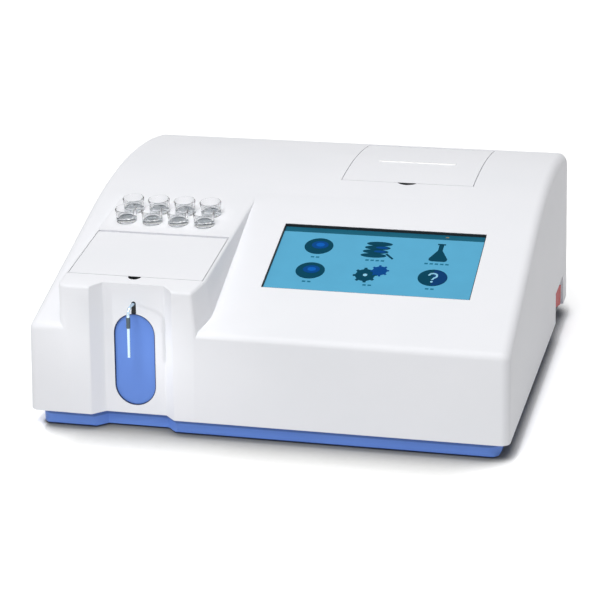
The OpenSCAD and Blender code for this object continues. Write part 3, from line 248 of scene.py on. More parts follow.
def stainless_needle():
    """Drawn stainless tube: bright, and brushed along its length, with a pale blue tone painted in as a
    reflection of the blue key.
    """
    material, tree, shader, coords = new_material("drawn_stainless_tube")
    lines = add(tree, "ShaderNodeMapping", {"Vector": coords, "Scale": BRUSH_MARKS})
    brush = add(tree, "ShaderNodeTexNoise", {"Vector": lines.outputs["Vector"], "Scale": 1.0, "Detail": 2.0})
    # Painted reflection: pale blue tones for the blue key that the steel mirrors.
    tone = add(tree, "ShaderNodeMix", {
        "Factor": brush.outputs["Fac"], "A": linear("#CFE4F4"), "B": linear("#BAD3E6"),
    }, data_type="RGBA")
    tree.links.new(tone.outputs["Result"], shader.inputs["Base Color"])
    shader.inputs["Metallic"].default_value = 1.0
    shader.inputs["Roughness"].default_value = 0.24
    return material


# How far a clear wall is painted darker edge on, how softly a painted dark ring starts and ends, and the
# mould's slow waves.
EDGE_BLEND = 0.12
RING_START = 0.2
RING_FADE = 0.4
WAVE_LENGTH = 4
WAVE_DEPTH = 0.05
WAVE_BUMP = 0.15


def clear_material(name, tint, edge, rough, ior, rings=()):
    """A clear moulding: its tint is painted darker, as painted shade, where the wall is seen edge on.

    It is also painted darker in rings of (low, high, tint), at heights in millimetres over the sample
    station.
    """
    material, tree, shader, coords = new_material(name)
    rim = add(tree, "ShaderNodeLayerWeight", {"Blend": EDGE_BLEND})
    tone = add(tree, "ShaderNodeMix", {
        "Factor": rim.outputs["Facing"], "A": linear(tint), "B": linear(edge),
    }, data_type="RGBA")
    above = add(tree, "ShaderNodeVectorMath", {0: coords, 1: STATION.translation}, operation="SUBTRACT")
    height = add(tree, "ShaderNodeVectorMath", {
        0: above.outputs[0], 1: STATION.col[2].to_3d(),
    }, operation="DOT_PRODUCT")
    for low, high, shade in rings:
        start = add(tree, "ShaderNodeMapRange", {
            "Value": height.outputs["Value"], "From Min": (low - RING_START) * MM, "From Max": low * MM,
        })
        fall = add(tree, "ShaderNodeMapRange", {
            "Value": height.outputs["Value"], "From Min": high * MM, "From Max": (high + RING_FADE) * MM,
            "To Min": 1.0, "To Max": 0.0,
        })
        band = add(tree, "ShaderNodeMath", {
            0: fall.outputs["Result"], 1: start.outputs["Result"],
        }, operation="MULTIPLY")
        tone = add(tree, "ShaderNodeMix", {
            "Factor": band.outputs[0], "A": tone.outputs["Result"], "B": linear(shade),
        }, data_type="RGBA")
    tree.links.new(tone.outputs["Result"], shader.inputs["Base Color"])
    waves = add(tree, "ShaderNodeTexNoise", {
        "Vector": coords, "Scale": 1 / (WAVE_LENGTH * MM), "Detail": 1.0,
    })
    bump = add(tree, "ShaderNodeBump", {
        "Height": waves.outputs["Fac"], "Strength": WAVE_BUMP, "Distance": WAVE_DEPTH * MM,
    })
    tree.links.new(bump.outputs["Normal"], shader.inputs["Normal"])
    shader.inputs["Transmission Weight"].default_value = 1.0
    shader.inputs["Roughness"].default_value = rough
    shader.inputs["IOR"].default_value = ior
    return material


# ABS, injection moulded in a spark-eroded mould: a fine satin grain, about 0.5 mm and drawn coarser to show.
MOULD_GRAIN = 1.1
MOULD_DEPTH = 0.05
ABS_IOR = 1.54
SATIN = 0.3
white_abs = mottled("moulded_white_abs", "#F4F4F8", "#EDEFF3", 70, MOULD_GRAIN, MOULD_DEPTH, (0.46, 0.58),
                    IOR=ABS_IOR, Specular_IOR_Level=SATIN)
# The same ABS in a cooler grey for the rear panel.
grey_abs = mottled("moulded_grey_abs", "#D9DCE1", "#CFD3D9", 50, MOULD_GRAIN, MOULD_DEPTH, (0.42, 0.54),
                   IOR=ABS_IOR)
# ABS coloured blue through, with a satin grain.
blue_abs = mottled("moulded_blue_abs", "#6C94E4", "#6088DA", 45, MOULD_GRAIN, MOULD_DEPTH, (0.38, 0.5),
                   IOR=ABS_IOR, Specular_IOR_Level=SATIN)
# The base tray's blue ABS, painted a shade lighter than the key's as painted light, and with a painted shadow
# in the groove under the housing.
base_abs_painted_light = mottled("blue_abs_painted_lighter", "#749EF2", "#6892E6", 45, MOULD_GRAIN, MOULD_DEPTH, (0.38, 0.5),
                   IOR=ABS_IOR, Specular_IOR_Level=SATIN)
# Painted shadow: the height band where the base's blue is painted darker under the housing's edge.
PAINTED_SHADOW_BAND = (8.4, 9.6)
paint_groove_shadow(base_abs_painted_light, *PAINTED_SHADOW_BAND, "#3A5490")
# Glass-filled nylon: near black, dull, with a coarse flow grain.
black_nylon = mottled("glass_filled_nylon", "#232426", "#1A1B1D", 20, 0.9, 0.06, (0.48, 0.62), IOR=1.53)
# Moulded rubber: black, matt, slightly dusty.
foot_rubber = mottled("moulded_rubber", "#1E1F20", "#2A2B2C", 8, 0.7, 0.06, (0.72, 0.86), IOR=1.52)
# Acetal: milky white and waxy.
acetal = mottled("turned_acetal", "#EDEEEA", "#E3E5E1", 15, 0.8, 0.02, (0.30, 0.38), IOR=1.48)
# Zinc-plated sheet steel: grey with soft clouds.
zinc_steel = mottled("zinc_plated_steel", "#B9BCC0", "#9EA3A9", 9, 0.6, 0.02, (0.32, 0.46), Metallic=1.0)
# Milled aluminium: pale, with short tool marks.
milled_aluminium = mottled("milled_aluminium", "#CDD0D4", "#B8BCC1", 6, 0.5, 0.02, (0.26, 0.38),
                           Metallic=1.0)
# Motor can: drawn steel under satin paint.
motor_paint = mottled("painted_motor_can", "#5D6065", "#4F5257", 18, 0.8, 0.03, (0.34, 0.46), IOR=1.5)
# Solder mask: green, glossy, over copper that shows as faint patches.
solder_mask = mottled("solder_mask", "#1F6B45", "#17573A", 5, 0.9, 0.03, (0.28, 0.42), IOR=1.52)
# Thermal paper: white, smooth, faintly fibrous.
thermal_paper = mottled("thermal_paper", "#FBFBF9", "#F2F2EF", 12, 0.6, 0.02, (0.55, 0.68), IOR=1.5)
# Silicone tubing: milky and soft.
silicone = mottled("silicone_tube", "#DDE2E3", "#CCD3D5", 10, 0.8, 0.02, (0.32, 0.44), IOR=1.43)
# Alumina plate of the cooling element: fired, off-white and dull.
alumina = mottled("fired_alumina", "#F1F0EA", "#E6E5DE", 10, 0.7, 0.03, (0.55, 0.7), IOR=1.7)
# Polycarbonate rocker: red and glossy.
red_rocker = mottled("red_polycarbonate", "#CC1219", "#B80D15", 10, 0.9, 0.02, (0.3, 0.38), IOR=1.58,
                     Specular_IOR_Level=0.2)
# Print on the display: dark blue and teal inks of the picture, lit from behind.
screen_glass = lit_print("backlit_touch_glass", "#5098B8", "#4A8BAA", 0.42)
status_teal = lit_print("status_bar_teal", "#1E6178", "#174E63", 0.2)
icon_navy = lit_print("icon_navy", "#023E52", "#04475F", 0.05)
icon_deep = lit_print("icon_deep_blue", "#0B3D72", "#0A3868", 0.08)
icon_blue = lit_print("icon_blue", "#06488A", "#054080", 0.12)
icon_core = lit_print("icon_bright_blue", "#0C5CB4", "#0B53A4", 0.2)
icon_pale = lit_print("icon_pale", "#86BBD2", "#7AB0C9", 0.3)
icon_amber = lit_print("icon_amber", "#8E8068", "#80725C", 0.12)
caption_teal = lit_print("caption_teal", "#24708C", "#1F6580", 0.15)
# Stainless tube of the needle, drawn and brushed, with a painted blue reflection.
needle_steel = stainless_needle()
# Polystyrene sample cup: clear as glass, with painted shade: dark lines painted where light runs along its
# walls and foot.
PAINTED_FOOT_RINGS = ((-0.2, 0.3, "#8E9599"), (2.4, 2.9, "#8E9599"))
clear_styrene = clear_material("clear_polystyrene", "#FFFFFF", "#4A5358", 0.02, 1.15, PAINTED_FOOT_RINGS)
# Optical glass and quartz of the lamp, lens and flow cell, painted darker where seen edge on.
optical_glass = clear_material("optical_glass", "#EAF4F4", "#6E878B", 0.02, 1.52)
# Coated filters: the glass with a purple bloom, painted darker where seen edge on.
coated_glass = clear_material("coated_filter_glass", "#B89CD6", "#5E6FB0", 0.05, 1.6)
# Stainless ferrule on the needle, painted dark to stand for a dark reflection along the tube: polished,
# bright only where it mirrors the room.
dark_reflection_steel = mottled("steel_painted_dark_reflection", "#5C686E", "#4A565C", 3, 0.5, 0.01, (0.16, 0.24), Metallic=1.0)
# Chromed wire of the fan guard: near mirror, faintly uneven.
chromed_wire = mottled("chromed_wire", "#D5D8DB", "#C6CACE", 4, 0.6, 0.01, (0.1, 0.18), Metallic=1.0)
# Polished white acrylic of the tear bar: glossy, brighter than the satin door.
white_acrylic = mottled("polished_white_acrylic", "#FFFFFF", "#FAFAFA", 20, 0.9, 0.01, (0.1, 0.16),
                        IOR=1.49)
# Soft black rubber, dull: around the glass, in the finger notches and around the needle, dark as painted
# shade of those openings.
shade_lining_rubber = mottled("black_rubber_painted_shade", "#16191B", "#1F2325", 6, 0.7, 0.03, (0.6, 0.75), IOR=1.5)
# Dark blue rubber that fills the gap around the key: painted shade of the gap.
gap_shade_rubber = mottled("navy_rubber_painted_shade", "#24345E", "#1D2B50", 6, 0.7, 0.03, (0.6, 0.75), IOR=1.5)

FINISH_OF = {
    white_abs: "upper_housing sample_lid printer_door",
    grey_abs: "rear_panel",
    blue_abs: "sample_key",
    base_abs_painted_light: "base_tray",
    dark_reflection_steel: "needle_sleeve",
    black_nylon: "key_switch switch_body cell_well lamp_house filter_wheel pump_head printer_frame "
                 "mains_inlet fan_frame fan_rotor display_module",
    foot_rubber: "rubber_feet",
    acetal: "pump_rotor pump_roller_1 pump_roller_2 pump_roller_3 motor_pinion",
    zinc_steel: "case_screws chassis_plate hinge_pins key_spring key_bracket display_bracket platen_roller",
    needle_steel: "sipper_needle",
    milled_aluminium: "cell_block heat_sink print_head",
    motor_paint: "filter_motor pump_motor printer_motor",
    solder_mask: "detector_board main_board power_supply",
    thermal_paper: "paper_roll",
    silicone: "pump_tube sample_tube drain_tubes",
    alumina: "peltier",
    red_rocker: "power_rocker",
    screen_glass: "touch_glass",
    clear_styrene: " ".join(f"sample_cup_{i}" for i in range(1, 9)),
    optical_glass: "flow_cell halogen_lamp condenser_lens",
    coated_glass: "interference_filters",
}
# Edges that turn by more degrees than this stay sharp. Points nearer than this, in metres, are one.
SOFT_EDGE = 34.0
SAME_POINT = 1e-6


def dress_solids():
    """Gives each solid its finish, with round faces shaded smooth and its corners kept."""
    for material, names in FINISH_OF.items():
        for name in names.split():
            solid = nodes[name]
            mesh = solid.data
            mesh.materials.clear()
            mesh.materials.append(material)
            normals = mesh.attributes.get("custom_normal")
            if normals:
                mesh.attributes.remove(normals)
            mesh.polygons.foreach_set("use_smooth", [True] * len(mesh.polygons))
            weld = solid.modifiers.new("join_faces", "WELD")
            weld.merge_threshold = SAME_POINT
            split = solid.modifiers.new("keep_corners", "EDGE_SPLIT")
            split.split_angle = math.radians(SOFT_EDGE)


dress_solids()


# Pieces made of plates.
def place_piece(mesh, name, body):
    """Makes an object of a mesh that has its finish, and lets it ride on its body."""
    piece = bpy.data.objects.new(name, mesh)
    bpy.context.scene.collection.objects.link(piece)
    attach(piece, body)
    return piece


def finish_piece(mesh, name, material, body):
    """Gives a mesh its finish and makes a riding piece of it."""
    mesh.materials.append(material)
    return place_piece(mesh, name, body)


def plate_mesh(name, plates, place):
    """Plates of (outline, low, high): each outline of (x, y) points is filled from low to high."""
    shape = bmesh.new()
    for outline, low, high in plates:
        under = [shape.verts.new((x, y, low)) for x, y in outline]
        over = [shape.verts.new((x, y, high)) for x, y in outline]
        shape.faces.new(under)
        shape.faces.new(over)
        for i in range(len(outline)):
            shape.faces.new((under[i - 1], under[i], over[i], over[i - 1]))
    bmesh.ops.recalc_face_normals(shape, faces=shape.faces)
    bmesh.ops.scale(shape, verts=shape.verts, vec=(MM, MM, MM))
    shape.transform(place)
    mesh = bpy.data.meshes.new(name)
    shape.to_mesh(mesh)
    shape.free()
    return mesh


def ellipse(x, y, half_w, half_h, steps=40, start=0.0, turn=360.0):
    """The outline of an ellipse, or of the part of it that turns by some degrees from a start."""
    angles = [math.radians(start + turn * i / steps) for i in range(steps + (turn < 360))]
    return [(x + half_w * math.cos(a), y + half_h * math.sin(a)) for a in angles]


def bar(x, y, half_w, half_h):
    """The outline of a rectangle around its middle."""
    left, right = x - half_w, x + half_w
    low, high = y - half_h, y + half_h
    return [(left, low), (right, low), (right, high), (left, high)]


# One tooth of a cog: shares of its pitch, and whether the outline is at the tip or at the root there.
COG_TOOTH = ((0.0, 0), (0.28, 0), (0.36, 1), (0.92, 1))


def cog(x, y, r, teeth, tooth):
    """The outline of a cog wheel of radius r over its teeth."""
    points = []
    for i in range(teeth):
        for share, at_root in COG_TOOTH:
            reach = r - tooth if at_root else r
            a = 2 * math.pi * (i + share) / teeth
            points.append((x + reach * math.cos(a), y + reach * math.sin(a)))
    return points


def spot(x, y, form):
    """An ellipse near a point: form is its offset and its half width and height."""
    across, up, half_w, half_h = form
    return ellipse(x + across, y + up, half_w, half_h)


# The start picture on the glass: columns and rows of icons, and the height of each row of captions with
# the number of bars under each icon.
COLUMNS = (31.0, 76.5, 123.0)
ROWS = (58.6, 27.4)
CAPTIONS = ((44.6, (2, 4, 5)), (13.6, (2, 2, 2)))
CAPTION_PITCH = 3.9
CAPTION_BAR = (1.3, 0.85)
DISC_R = 11.0
DISC_H = 0.93
SHADE_SIZE = (0.96, 0.88)
# Forms in the icons, as spot reads them.
GLOBE_GLOW = (0.6, 1.6, 6.4, 4.8)
GLOBE_CORE = (0.8, 1.8, 3.2, 2.4)
TRAY = (0.0, 0.0, 9.8, 2.75)
TRAY_SHINE = (3.2, 0.3, 4.6, 1.4)
TRAYS = 4
TRAY_FIRST = (-2.2, -7.8)
TRAY_STEP = (0.7, 5.0)
HANDLE = ((6.4, -5.6), (12.4, -11.6), (13.6, -10.6), (7.8, -4.4))
FLASK = ((1.8, 10.6), (1.8, 3.0), (7.0, -7.4), (6.8, -9.6), (5.0, -10.8))
FLASK_LIP_Y = 10.9
FLASK_LIP = (3.0, 0.8)
# Cogs: their offset, radius and height of tooth.
COG_TEETH = 8
LARGE_COG = (-3.6, -1.6, 9.2, 1.7)
SMALL_COG = (6.2, 4.6, 7.0, 1.4)
COG_HOLE = 1.6
# The question mark: a hook around its middle, a short stem and a dot.
HOOK_Y = 2.4
HOOK_OUTER = (3.7, 3.6)
HOOK_INNER = (2.2, 2.1)
HOOK_TURN = 245.0
STEM_HALF = 0.8
STEM_END = 2.6
DOT_Y = 5.0
DOT_R = 1.0
FINE_STEPS = 20
STATUS_Y = 3.6
STATUS_HALF = 3.0
STATUS_EDGE = 0.5
STATUS_MARK_SHARE = 0.81
STATUS_MARK_Y = 3.4
STATUS_MARK = (1.2, 0.6)
PICTURE_LOW = 0.02
PICTURE_STEP = 0.05


def make_picture():
    """The display's start picture: a status bar, six common pictograms, and bars for captions."""
    discs, shades, details, cores, marks, captions = [], [], [], [], [], []
    left, middle, right = COLUMNS
    top, low = ROWS
    for x, y in ((left, top), (left, low), (right, low)):
        discs.append(ellipse(x, y, DISC_R, DISC_R * DISC_H))
    for y in (top, low):
        details.append(spot(left, y, GLOBE_GLOW))
        cores.append(spot(left, y, GLOBE_CORE))
    shades.append(ellipse(right, low, DISC_R * SHADE_SIZE[0], DISC_R * SHADE_SIZE[1], 24, -90.0, 180.0))
    for i in range(TRAYS):
        x = middle + TRAY_FIRST[0] + TRAY_STEP[0] * i
        y = top + TRAY_FIRST[1] + TRAY_STEP[1] * i
        discs.append(spot(x, y, TRAY))
        if 0 < i < TRAYS - 1:
            details.append(spot(x, y, TRAY_SHINE))
    discs.append([(middle + x, top + y) for x, y in HANDLE])
    flask_right = [(right + x, top + y) for x, y in FLASK]
    flask_left = [(right - x, top + y) for x, y in FLASK[::-1]]
    discs.append(flask_right + flask_left)
    discs.append(bar(right, top + FLASK_LIP_Y, *FLASK_LIP))
    for layer, (across, up, r, tooth) in ((discs, LARGE_COG), (details, SMALL_COG)):
        layer.append(cog(middle + across, low + up, r, COG_TEETH, tooth))
    marks.append(ellipse(middle + LARGE_COG[0], low + LARGE_COG[1], COG_HOLE, COG_HOLE, FINE_STEPS))
    hook_outer = ellipse(right, low + HOOK_Y, *HOOK_OUTER, FINE_STEPS, 180.0, -HOOK_TURN)
    hook_inner = ellipse(right, low + HOOK_Y, *HOOK_INNER, FINE_STEPS, 180.0 - HOOK_TURN, HOOK_TURN)
    stem = [(right + STEM_HALF, low - STEM_END), (right - STEM_HALF, low - STEM_END)]
    marks.append(hook_outer + stem + hook_inner)
    marks.append(ellipse(right, low - DOT_Y, DOT_R, DOT_R, FINE_STEPS))
    for y, counts in CAPTIONS:
        for x, dashes in zip(COLUMNS, counts):
            for i in range(dashes):
                captions.append(bar(x + CAPTION_PITCH * (i - (dashes - 1) / 2), y, *CAPTION_BAR))
    status = bar(WINDOW_W / 2, WINDOW_H - STATUS_Y, WINDOW_W / 2 - STATUS_EDGE, STATUS_HALF)
    status_mark = bar(WINDOW_W * STATUS_MARK_SHARE, WINDOW_H - STATUS_MARK_Y, *STATUS_MARK)
    layers = {
        ("status_bar", status_teal, 0): [status],
        ("status_mark", icon_amber, 1): [status_mark],
        ("icon_discs", icon_navy, 0): discs,
        ("icon_shades", icon_deep, 1): shades,
        ("icon_details", icon_blue, 1): details,
        ("icon_cores", icon_core, 2): cores,
        ("icon_marks", icon_pale, 2): marks,
        ("caption_bars", caption_teal, 0): captions,
    }
    for (name, material, level), outlines in layers.items():
        base = PICTURE_LOW + PICTURE_STEP * level
        mesh = plate_mesh(name, [(outline, base, base + PICTURE_STEP) for outline in outlines], SCREEN)
        finish_piece(mesh, name, material, "case")


make_picture()

# Dark linings put in the openings of the case as painted shade: their thickness, their play in the opening,
# and how far they stay below the surface.
GASKET_THICK = 0.5
GASKET_PLAY = 0.04
GASKET_SUNK = 0.25
NOTCH_WALL = 0.4
NOTCH_PLAY = 0.05
NOTCH_SUNK = 0.3
STRIP_Y = -0.16
STRIP_HALF = 0.15
STRIP_ENDS = 0.7
STRIP_SUNK = 0.15
STRIP_FOOT = 0.1
GROMMET_HALF = 1.75
GROMMET_LOW = 0.1
GROMMET_SPAN = (2.4, 0.9)
KEY_SHADE_PLAY = 0.06
KEY_SHADE_SPAN = (2.3, 0.3)


def make_gasket_and_shade():
    """A black seal around the glass, standing against the four walls of the window, dark also as painted
    shade of those walls.
    """
    t = GASKET_THICK
    near = GASKET_PLAY
    w, h, top = WINDOW_W - near, WINDOW_H - near, -GLASS_TOP - GASKET_SUNK
    plates = []
    for x in (near, w - t):
        plates.append(([(x, near), (x + t, near), (x + t, h), (x, h)], 0.0, top))
    for y in (near, h - t):
        plates.append(([(near + t, y), (w - t, y), (w - t, y + t), (near + t, y + t)], 0.0, top))
    finish_piece(plate_mesh("glass_gasket_and_shade", plates, SCREEN), "glass_gasket_and_shade", shade_lining_rubber, "case")


def make_notch_shade(name, place, r, middle, half, depth, body):
    """The lining of a finger notch, dark as painted shade: a dark tray on the case, and a dark strip on the
    cover's front edge.
    """
    reach = r - NOTCH_PLAY
    span = math.degrees(math.asin(min(1.0, half / r)))
    outer = ellipse(0, middle, reach, reach, 24, 270 - span, 2 * span)
    inner = ellipse(0, middle, reach - NOTCH_WALL, reach - NOTCH_WALL, 24, 270 - span, 2 * span)
    floor = -depth + NOTCH_WALL
    tray = [(outer, -depth + NOTCH_PLAY, floor), (outer + inner[::-1], floor, -NOTCH_SUNK)]
    finish_piece(plate_mesh(name + "_tray", tray, place), name + "_tray", shade_lining_rubber, "case")
    strip = [(bar(0, STRIP_Y, half - STRIP_ENDS, STRIP_HALF), STRIP_FOOT - COVER_LIP, -STRIP_SUNK)]
    finish_piece(plate_mesh(name + "_strip", strip, place), name + "_strip", shade_lining_rubber, body)


def make_grommet():
    """The needle's grommet, which closes the slot above the key; its dark rubber is painted shade of the
    slot's inside.
    """
    half, low = GROMMET_HALF, KEY_TOP + GROMMET_LOW
    outline = [(-half, low), (half, low)] + ellipse(0, NEEDLE_Z, half, half, 16, 0.0, 180.0)
    back, front = (-CHANNEL_DEPTH - depth for depth in GROMMET_SPAN)
    plate = plate_mesh("needle_grommet", [(outline, back, front)], CHANNEL)
    finish_piece(plate, "needle_grommet", shade_lining_rubber, "case")


def stadium(half_w, half_h, side):
    """Half of a stadium's outline, on one side of the middle line, from its lower to its upper end."""
    straight = half_h - half_w
    low = ellipse(0, KEY_MID - straight, half_w, half_w, 14, -90.0, 90.0)
    high = ellipse(0, KEY_MID + straight, half_w, half_w, 14, 0.0, 90.0)
    return [(side * x, y) for x, y in low + high]


def make_key_gap_shade():
    """Dark rubber that fills the gap around the key as painted shade of the gap, set a little below the
    channel's wall.
    """
    back, front = (-CHANNEL_DEPTH - depth for depth in KEY_SHADE_SPAN)
    plates = []
    for side in (-1, 1):
        outer = stadium(KEY_W / 2 - KEY_SHADE_PLAY, KEY_H / 2 - KEY_SHADE_PLAY, side)
        inner = stadium(KEY_W / 2 - KEY_GAP + KEY_SHADE_PLAY, KEY_H / 2 - KEY_GAP + KEY_SHADE_PLAY, side)
        plates.append((outer + inner[::-1], back, front))
    finish_piece(plate_mesh("key_gap_shade", plates, CHANNEL), "key_gap_shade", gap_shade_rubber, "case")


def make_key_spring():
    """The key's return spring as a piece of its own, riding on the case in place of the imported one."""
    shape = bmesh.new()
    shape.from_mesh(nodes["key_spring"].data)
    bmesh.ops.remove_doubles(shape, verts=shape.verts, dist=SAME_POINT)
    mesh = bpy.data.meshes.new("key_spring_wire")
    shape.to_mesh(mesh)
    shape.free()
    piece = finish_piece(mesh, "key_spring_wire", zinc_steel, "case")
    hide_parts("key_spring")
    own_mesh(piece)


# The tear bar's section, along the roof and up from it, and how far it runs past the slot's teeth.
TEAR_SECTION = ((-4.4, -0.04), (-4.35, 0.3), (-4.1, 0.6), (-3.6, 0.76), (-2.86, 0.78), (-2.86, -0.04))
TEAR_PAST = 1


def make_tear_bar():
    """A rounded bar in front of the paper slot's lip."""
    half = SLOT_HALF + TEAR_PAST
    plate = plate_mesh("tear_bar", [(TEAR_SECTION, -half, half)], PAPER_SLOT @ ALONG_X)
    finish_piece(plate, "tear_bar", white_acrylic, "door")


make_gasket_and_shade()
make_key_gap_shade()
make_key_spring()
make_tear_bar()
make_notch_shade("lid_notch_shade", LID_EDGE, LID_NOTCH_R, 0.0, LID_NOTCH_R, LID_NOTCH_DEPTH, "lid")
make_notch_shade("door_notch_shade", DOOR_EDGE, DOOR_NOTCH_R, DOOR_NOTCH_MID, DOOR_NOTCH_HALF, DOOR_NOTCH_DEPTH, "door")
make_grommet()


# Repeated pieces, grown by Geometry Nodes.
def new_tree(name, sizes):
    """An empty tree with one input for each named size."""
    tree = bpy.data.node_groups.new(name, "GeometryNodeTree")
    tree.interface.new_socket("Geometry", in_out="INPUT", socket_type="NodeSocketGeometry")
    for size, kind in sizes.items():
        tree.interface.new_socket(size, in_out="INPUT", socket_type="NodeSocket" + kind)
    tree.interface.new_socket("Geometry", in_out="OUTPUT", socket_type="NodeSocketGeometry")
    return tree, add(tree, "NodeGroupInput").outputs


def close_tree(tree, geometry, material):
    """Ends a tree: the instances become real, and the finish is set."""
    real = add(tree, "GeometryNodeRealizeInstances", {"Geometry": geometry})
    done = add(tree, "GeometryNodeSetMaterial", {"Geometry": real.outputs[0], "Material": material})
    add(tree, "NodeGroupOutput", {"Geometry": done.outputs[0]})


def grown_mesh(name, tree, points, sizes, place):
    """Runs a tree on points in a frame and keeps the result as a plain mesh."""
    seed = bpy.data.meshes.new(name + "_points")
    seed.from_pydata([Vector(p) * MM for p in points], [], [])
    carrier = bpy.data.objects.new(name + "_points", seed)
    bpy.context.scene.collection.objects.link(carrier)
    modifier = carrier.modifiers.new("grow", "NODES")
    modifier.node_group = tree
    for item in tree.interface.items_tree:
        if item.in_out == "INPUT" and item.name in sizes:
            modifier[item.identifier] = sizes[item.name]
    grown = carrier.evaluated_get(bpy.context.evaluated_depsgraph_get())
    mesh = bpy.data.meshes.new_from_object(grown)
    mesh.name = name
    bpy.data.objects.remove(carrier)
    bpy.data.meshes.remove(seed)
    mesh.transform(place)
    return mesh


# Shares of a screw head's height and radius, and of its recess.
FACES_UP = 0.9
DOME_RISE = 0.4
DOME_TOP = 0.7
RECESS_LENGTH = 4.0


def screw_tree(material):
    """Pan-head screws with a cross recess, one on each point."""
    tree, size = new_tree("cross_head_screws", {
        "Head radius": "Float", "Head height": "Float", "Recess": "Float",
    })
    head = add(tree, "GeometryNodeMeshCylinder", {
        "Vertices": 24, "Radius": size["Head radius"], "Depth": size["Head height"],
    })
    normal = add(tree, "ShaderNodeSeparateXYZ", {0: add(tree, "GeometryNodeInputNormal").outputs["Normal"]})
    top = add(tree, "ShaderNodeMath", {0: normal.outputs["Z"], 1: FACES_UP}, operation="GREATER_THAN")
    rise = add(tree, "ShaderNodeMath", {0: size["Head height"], 1: DOME_RISE}, operation="MULTIPLY")
    dome = add(tree, "GeometryNodeExtrudeMesh", {
        "Mesh": head.outputs["Mesh"], "Selection": top.outputs[0],
        "Offset Scale": rise.outputs[0], "Individual": False,
    })
    crown = add(tree, "GeometryNodeScaleElements", {
        "Geometry": dome.outputs["Mesh"], "Selection": dome.outputs["Top"], "Scale": DOME_TOP,
    })
    long = add(tree, "ShaderNodeMath", {0: size["Recess"], 1: RECESS_LENGTH}, operation="MULTIPLY")
    arms = []
    for first, second in ((size["Recess"], long.outputs[0]), (long.outputs[0], size["Recess"])):
        arm = add(tree, "ShaderNodeCombineXYZ", {0: first, 1: second, 2: size["Head height"]})
        cross = add(tree, "GeometryNodeMeshCube", {"Size": arm.outputs[0]})
        lift = add(tree, "ShaderNodeCombineXYZ", {2: size["Head height"]})
        raised = add(tree, "GeometryNodeTransform", {
            "Geometry": cross.outputs["Mesh"], "Translation": lift.outputs[0],
        })
        arms.append(raised.outputs[0])
    recess = add(tree, "GeometryNodeMeshBoolean", {
        "Mesh 1": crown.outputs[0], "Mesh 2": tuple(arms),
    }, operation="DIFFERENCE")
    heads = add(tree, "GeometryNodeInstanceOnPoints", {
        "Points": size["Geometry"], "Instance": recess.outputs["Mesh"],
    })
    close_tree(tree, heads.outputs[0], material)
    return tree


SPOKES = 4


def guard_tree(material):
    """A wire finger guard on each point: rings at even steps on four spokes."""
    tree, size = new_tree("wire_guard", {
        "First ring": "Float", "Ring step": "Float", "Rings": "Int", "Wire radius": "Float", "Spoke": "Float",
    })
    count = add(tree, "GeometryNodeInputIndex").outputs[0]
    grow = add(tree, "ShaderNodeMath", {
        0: count, 1: size["Ring step"], 2: size["First ring"],
    }, operation="MULTIPLY_ADD")
    stack = add(tree, "GeometryNodeMeshLine", {"Count": size["Rings"], "Offset": (0.0, 0.0, 0.0)})
    circle = add(tree, "GeometryNodeCurvePrimitiveCircle", {"Resolution": 56, "Radius": 1.0})
    rings = add(tree, "GeometryNodeInstanceOnPoints", {
        "Points": stack.outputs[0], "Instance": circle.outputs[0], "Scale": grow.outputs[0],
    })
    turn = add(tree, "ShaderNodeMath", {
        0: count, 1: 2 * math.pi / SPOKES, 2: math.pi / SPOKES,
    }, operation="MULTIPLY_ADD")
    turned = add(tree, "ShaderNodeCombineXYZ", {2: turn.outputs[0]})
    reach = add(tree, "ShaderNodeCombineXYZ", {0: size["Spoke"]})
    spoke = add(tree, "GeometryNodeCurvePrimitiveLine", {
        "Start": (0.0, 0.0, 0.0), "End": reach.outputs[0],
    })
    hub = add(tree, "GeometryNodeMeshLine", {"Count": SPOKES, "Offset": (0.0, 0.0, 0.0)})
    spokes = add(tree, "GeometryNodeInstanceOnPoints", {
        "Points": hub.outputs[0], "Instance": spoke.outputs[0], "Rotation": turned.outputs[0],
    })
    wires = add(tree, "GeometryNodeJoinGeometry", {0: (rings.outputs[0], spokes.outputs[0])})
    lines = add(tree, "GeometryNodeRealizeInstances", {"Geometry": wires.outputs[0]})
    section = add(tree, "GeometryNodeCurvePrimitiveCircle", {
        "Resolution": 10, "Radius": size["Wire radius"],
    })
    guard = add(tree, "GeometryNodeCurveToMesh", {
        "Curve": lines.outputs[0], "Profile Curve": section.outputs[0], "Fill Caps": True,
    })
    placed = add(tree, "GeometryNodeInstanceOnPoints", {
        "Points": size["Geometry"], "Instance": guard.outputs[0],
    })
    close_tree(tree, placed.outputs[0], material)
    return tree


# A tear tooth's half width as a share of the pitch.
TOOTH_SHARE = 0.6


def teeth_tree(material):
    """A row of tear teeth from each point, all pointing along Y."""
    tree, size = new_tree("tear_teeth", {"Pitch": "Float", "Teeth": "Int", "Tooth": "Float"})
    step = add(tree, "ShaderNodeCombineXYZ", {0: size["Pitch"]})
    row = add(tree, "GeometryNodeMeshLine", {"Count": size["Teeth"], "Offset": step.outputs[0]})
    half = add(tree, "ShaderNodeMath", {0: size["Pitch"], 1: TOOTH_SHARE}, operation="MULTIPLY")
    spike = add(tree, "GeometryNodeMeshCone", {
        "Vertices": 4, "Radius Top": 0.0, "Radius Bottom": half.outputs[0], "Depth": size["Tooth"],
    })
    laid = add(tree, "GeometryNodeTransform", {
        "Geometry": spike.outputs["Mesh"], "Rotation": (-math.pi / 2, math.pi / 4, 0.0),
    })
    teeth = add(tree, "GeometryNodeInstanceOnPoints", {
        "Points": row.outputs[0], "Instance": laid.outputs[0],
    })
    real = add(tree, "GeometryNodeRealizeInstances", {"Geometry": teeth.outputs[0]})
    rows = add(tree, "GeometryNodeInstanceOnPoints", {
        "Points": size["Geometry"], "Instance": real.outputs[0],
    })
    close_tree(tree, rows.outputs[0], material)
    return tree


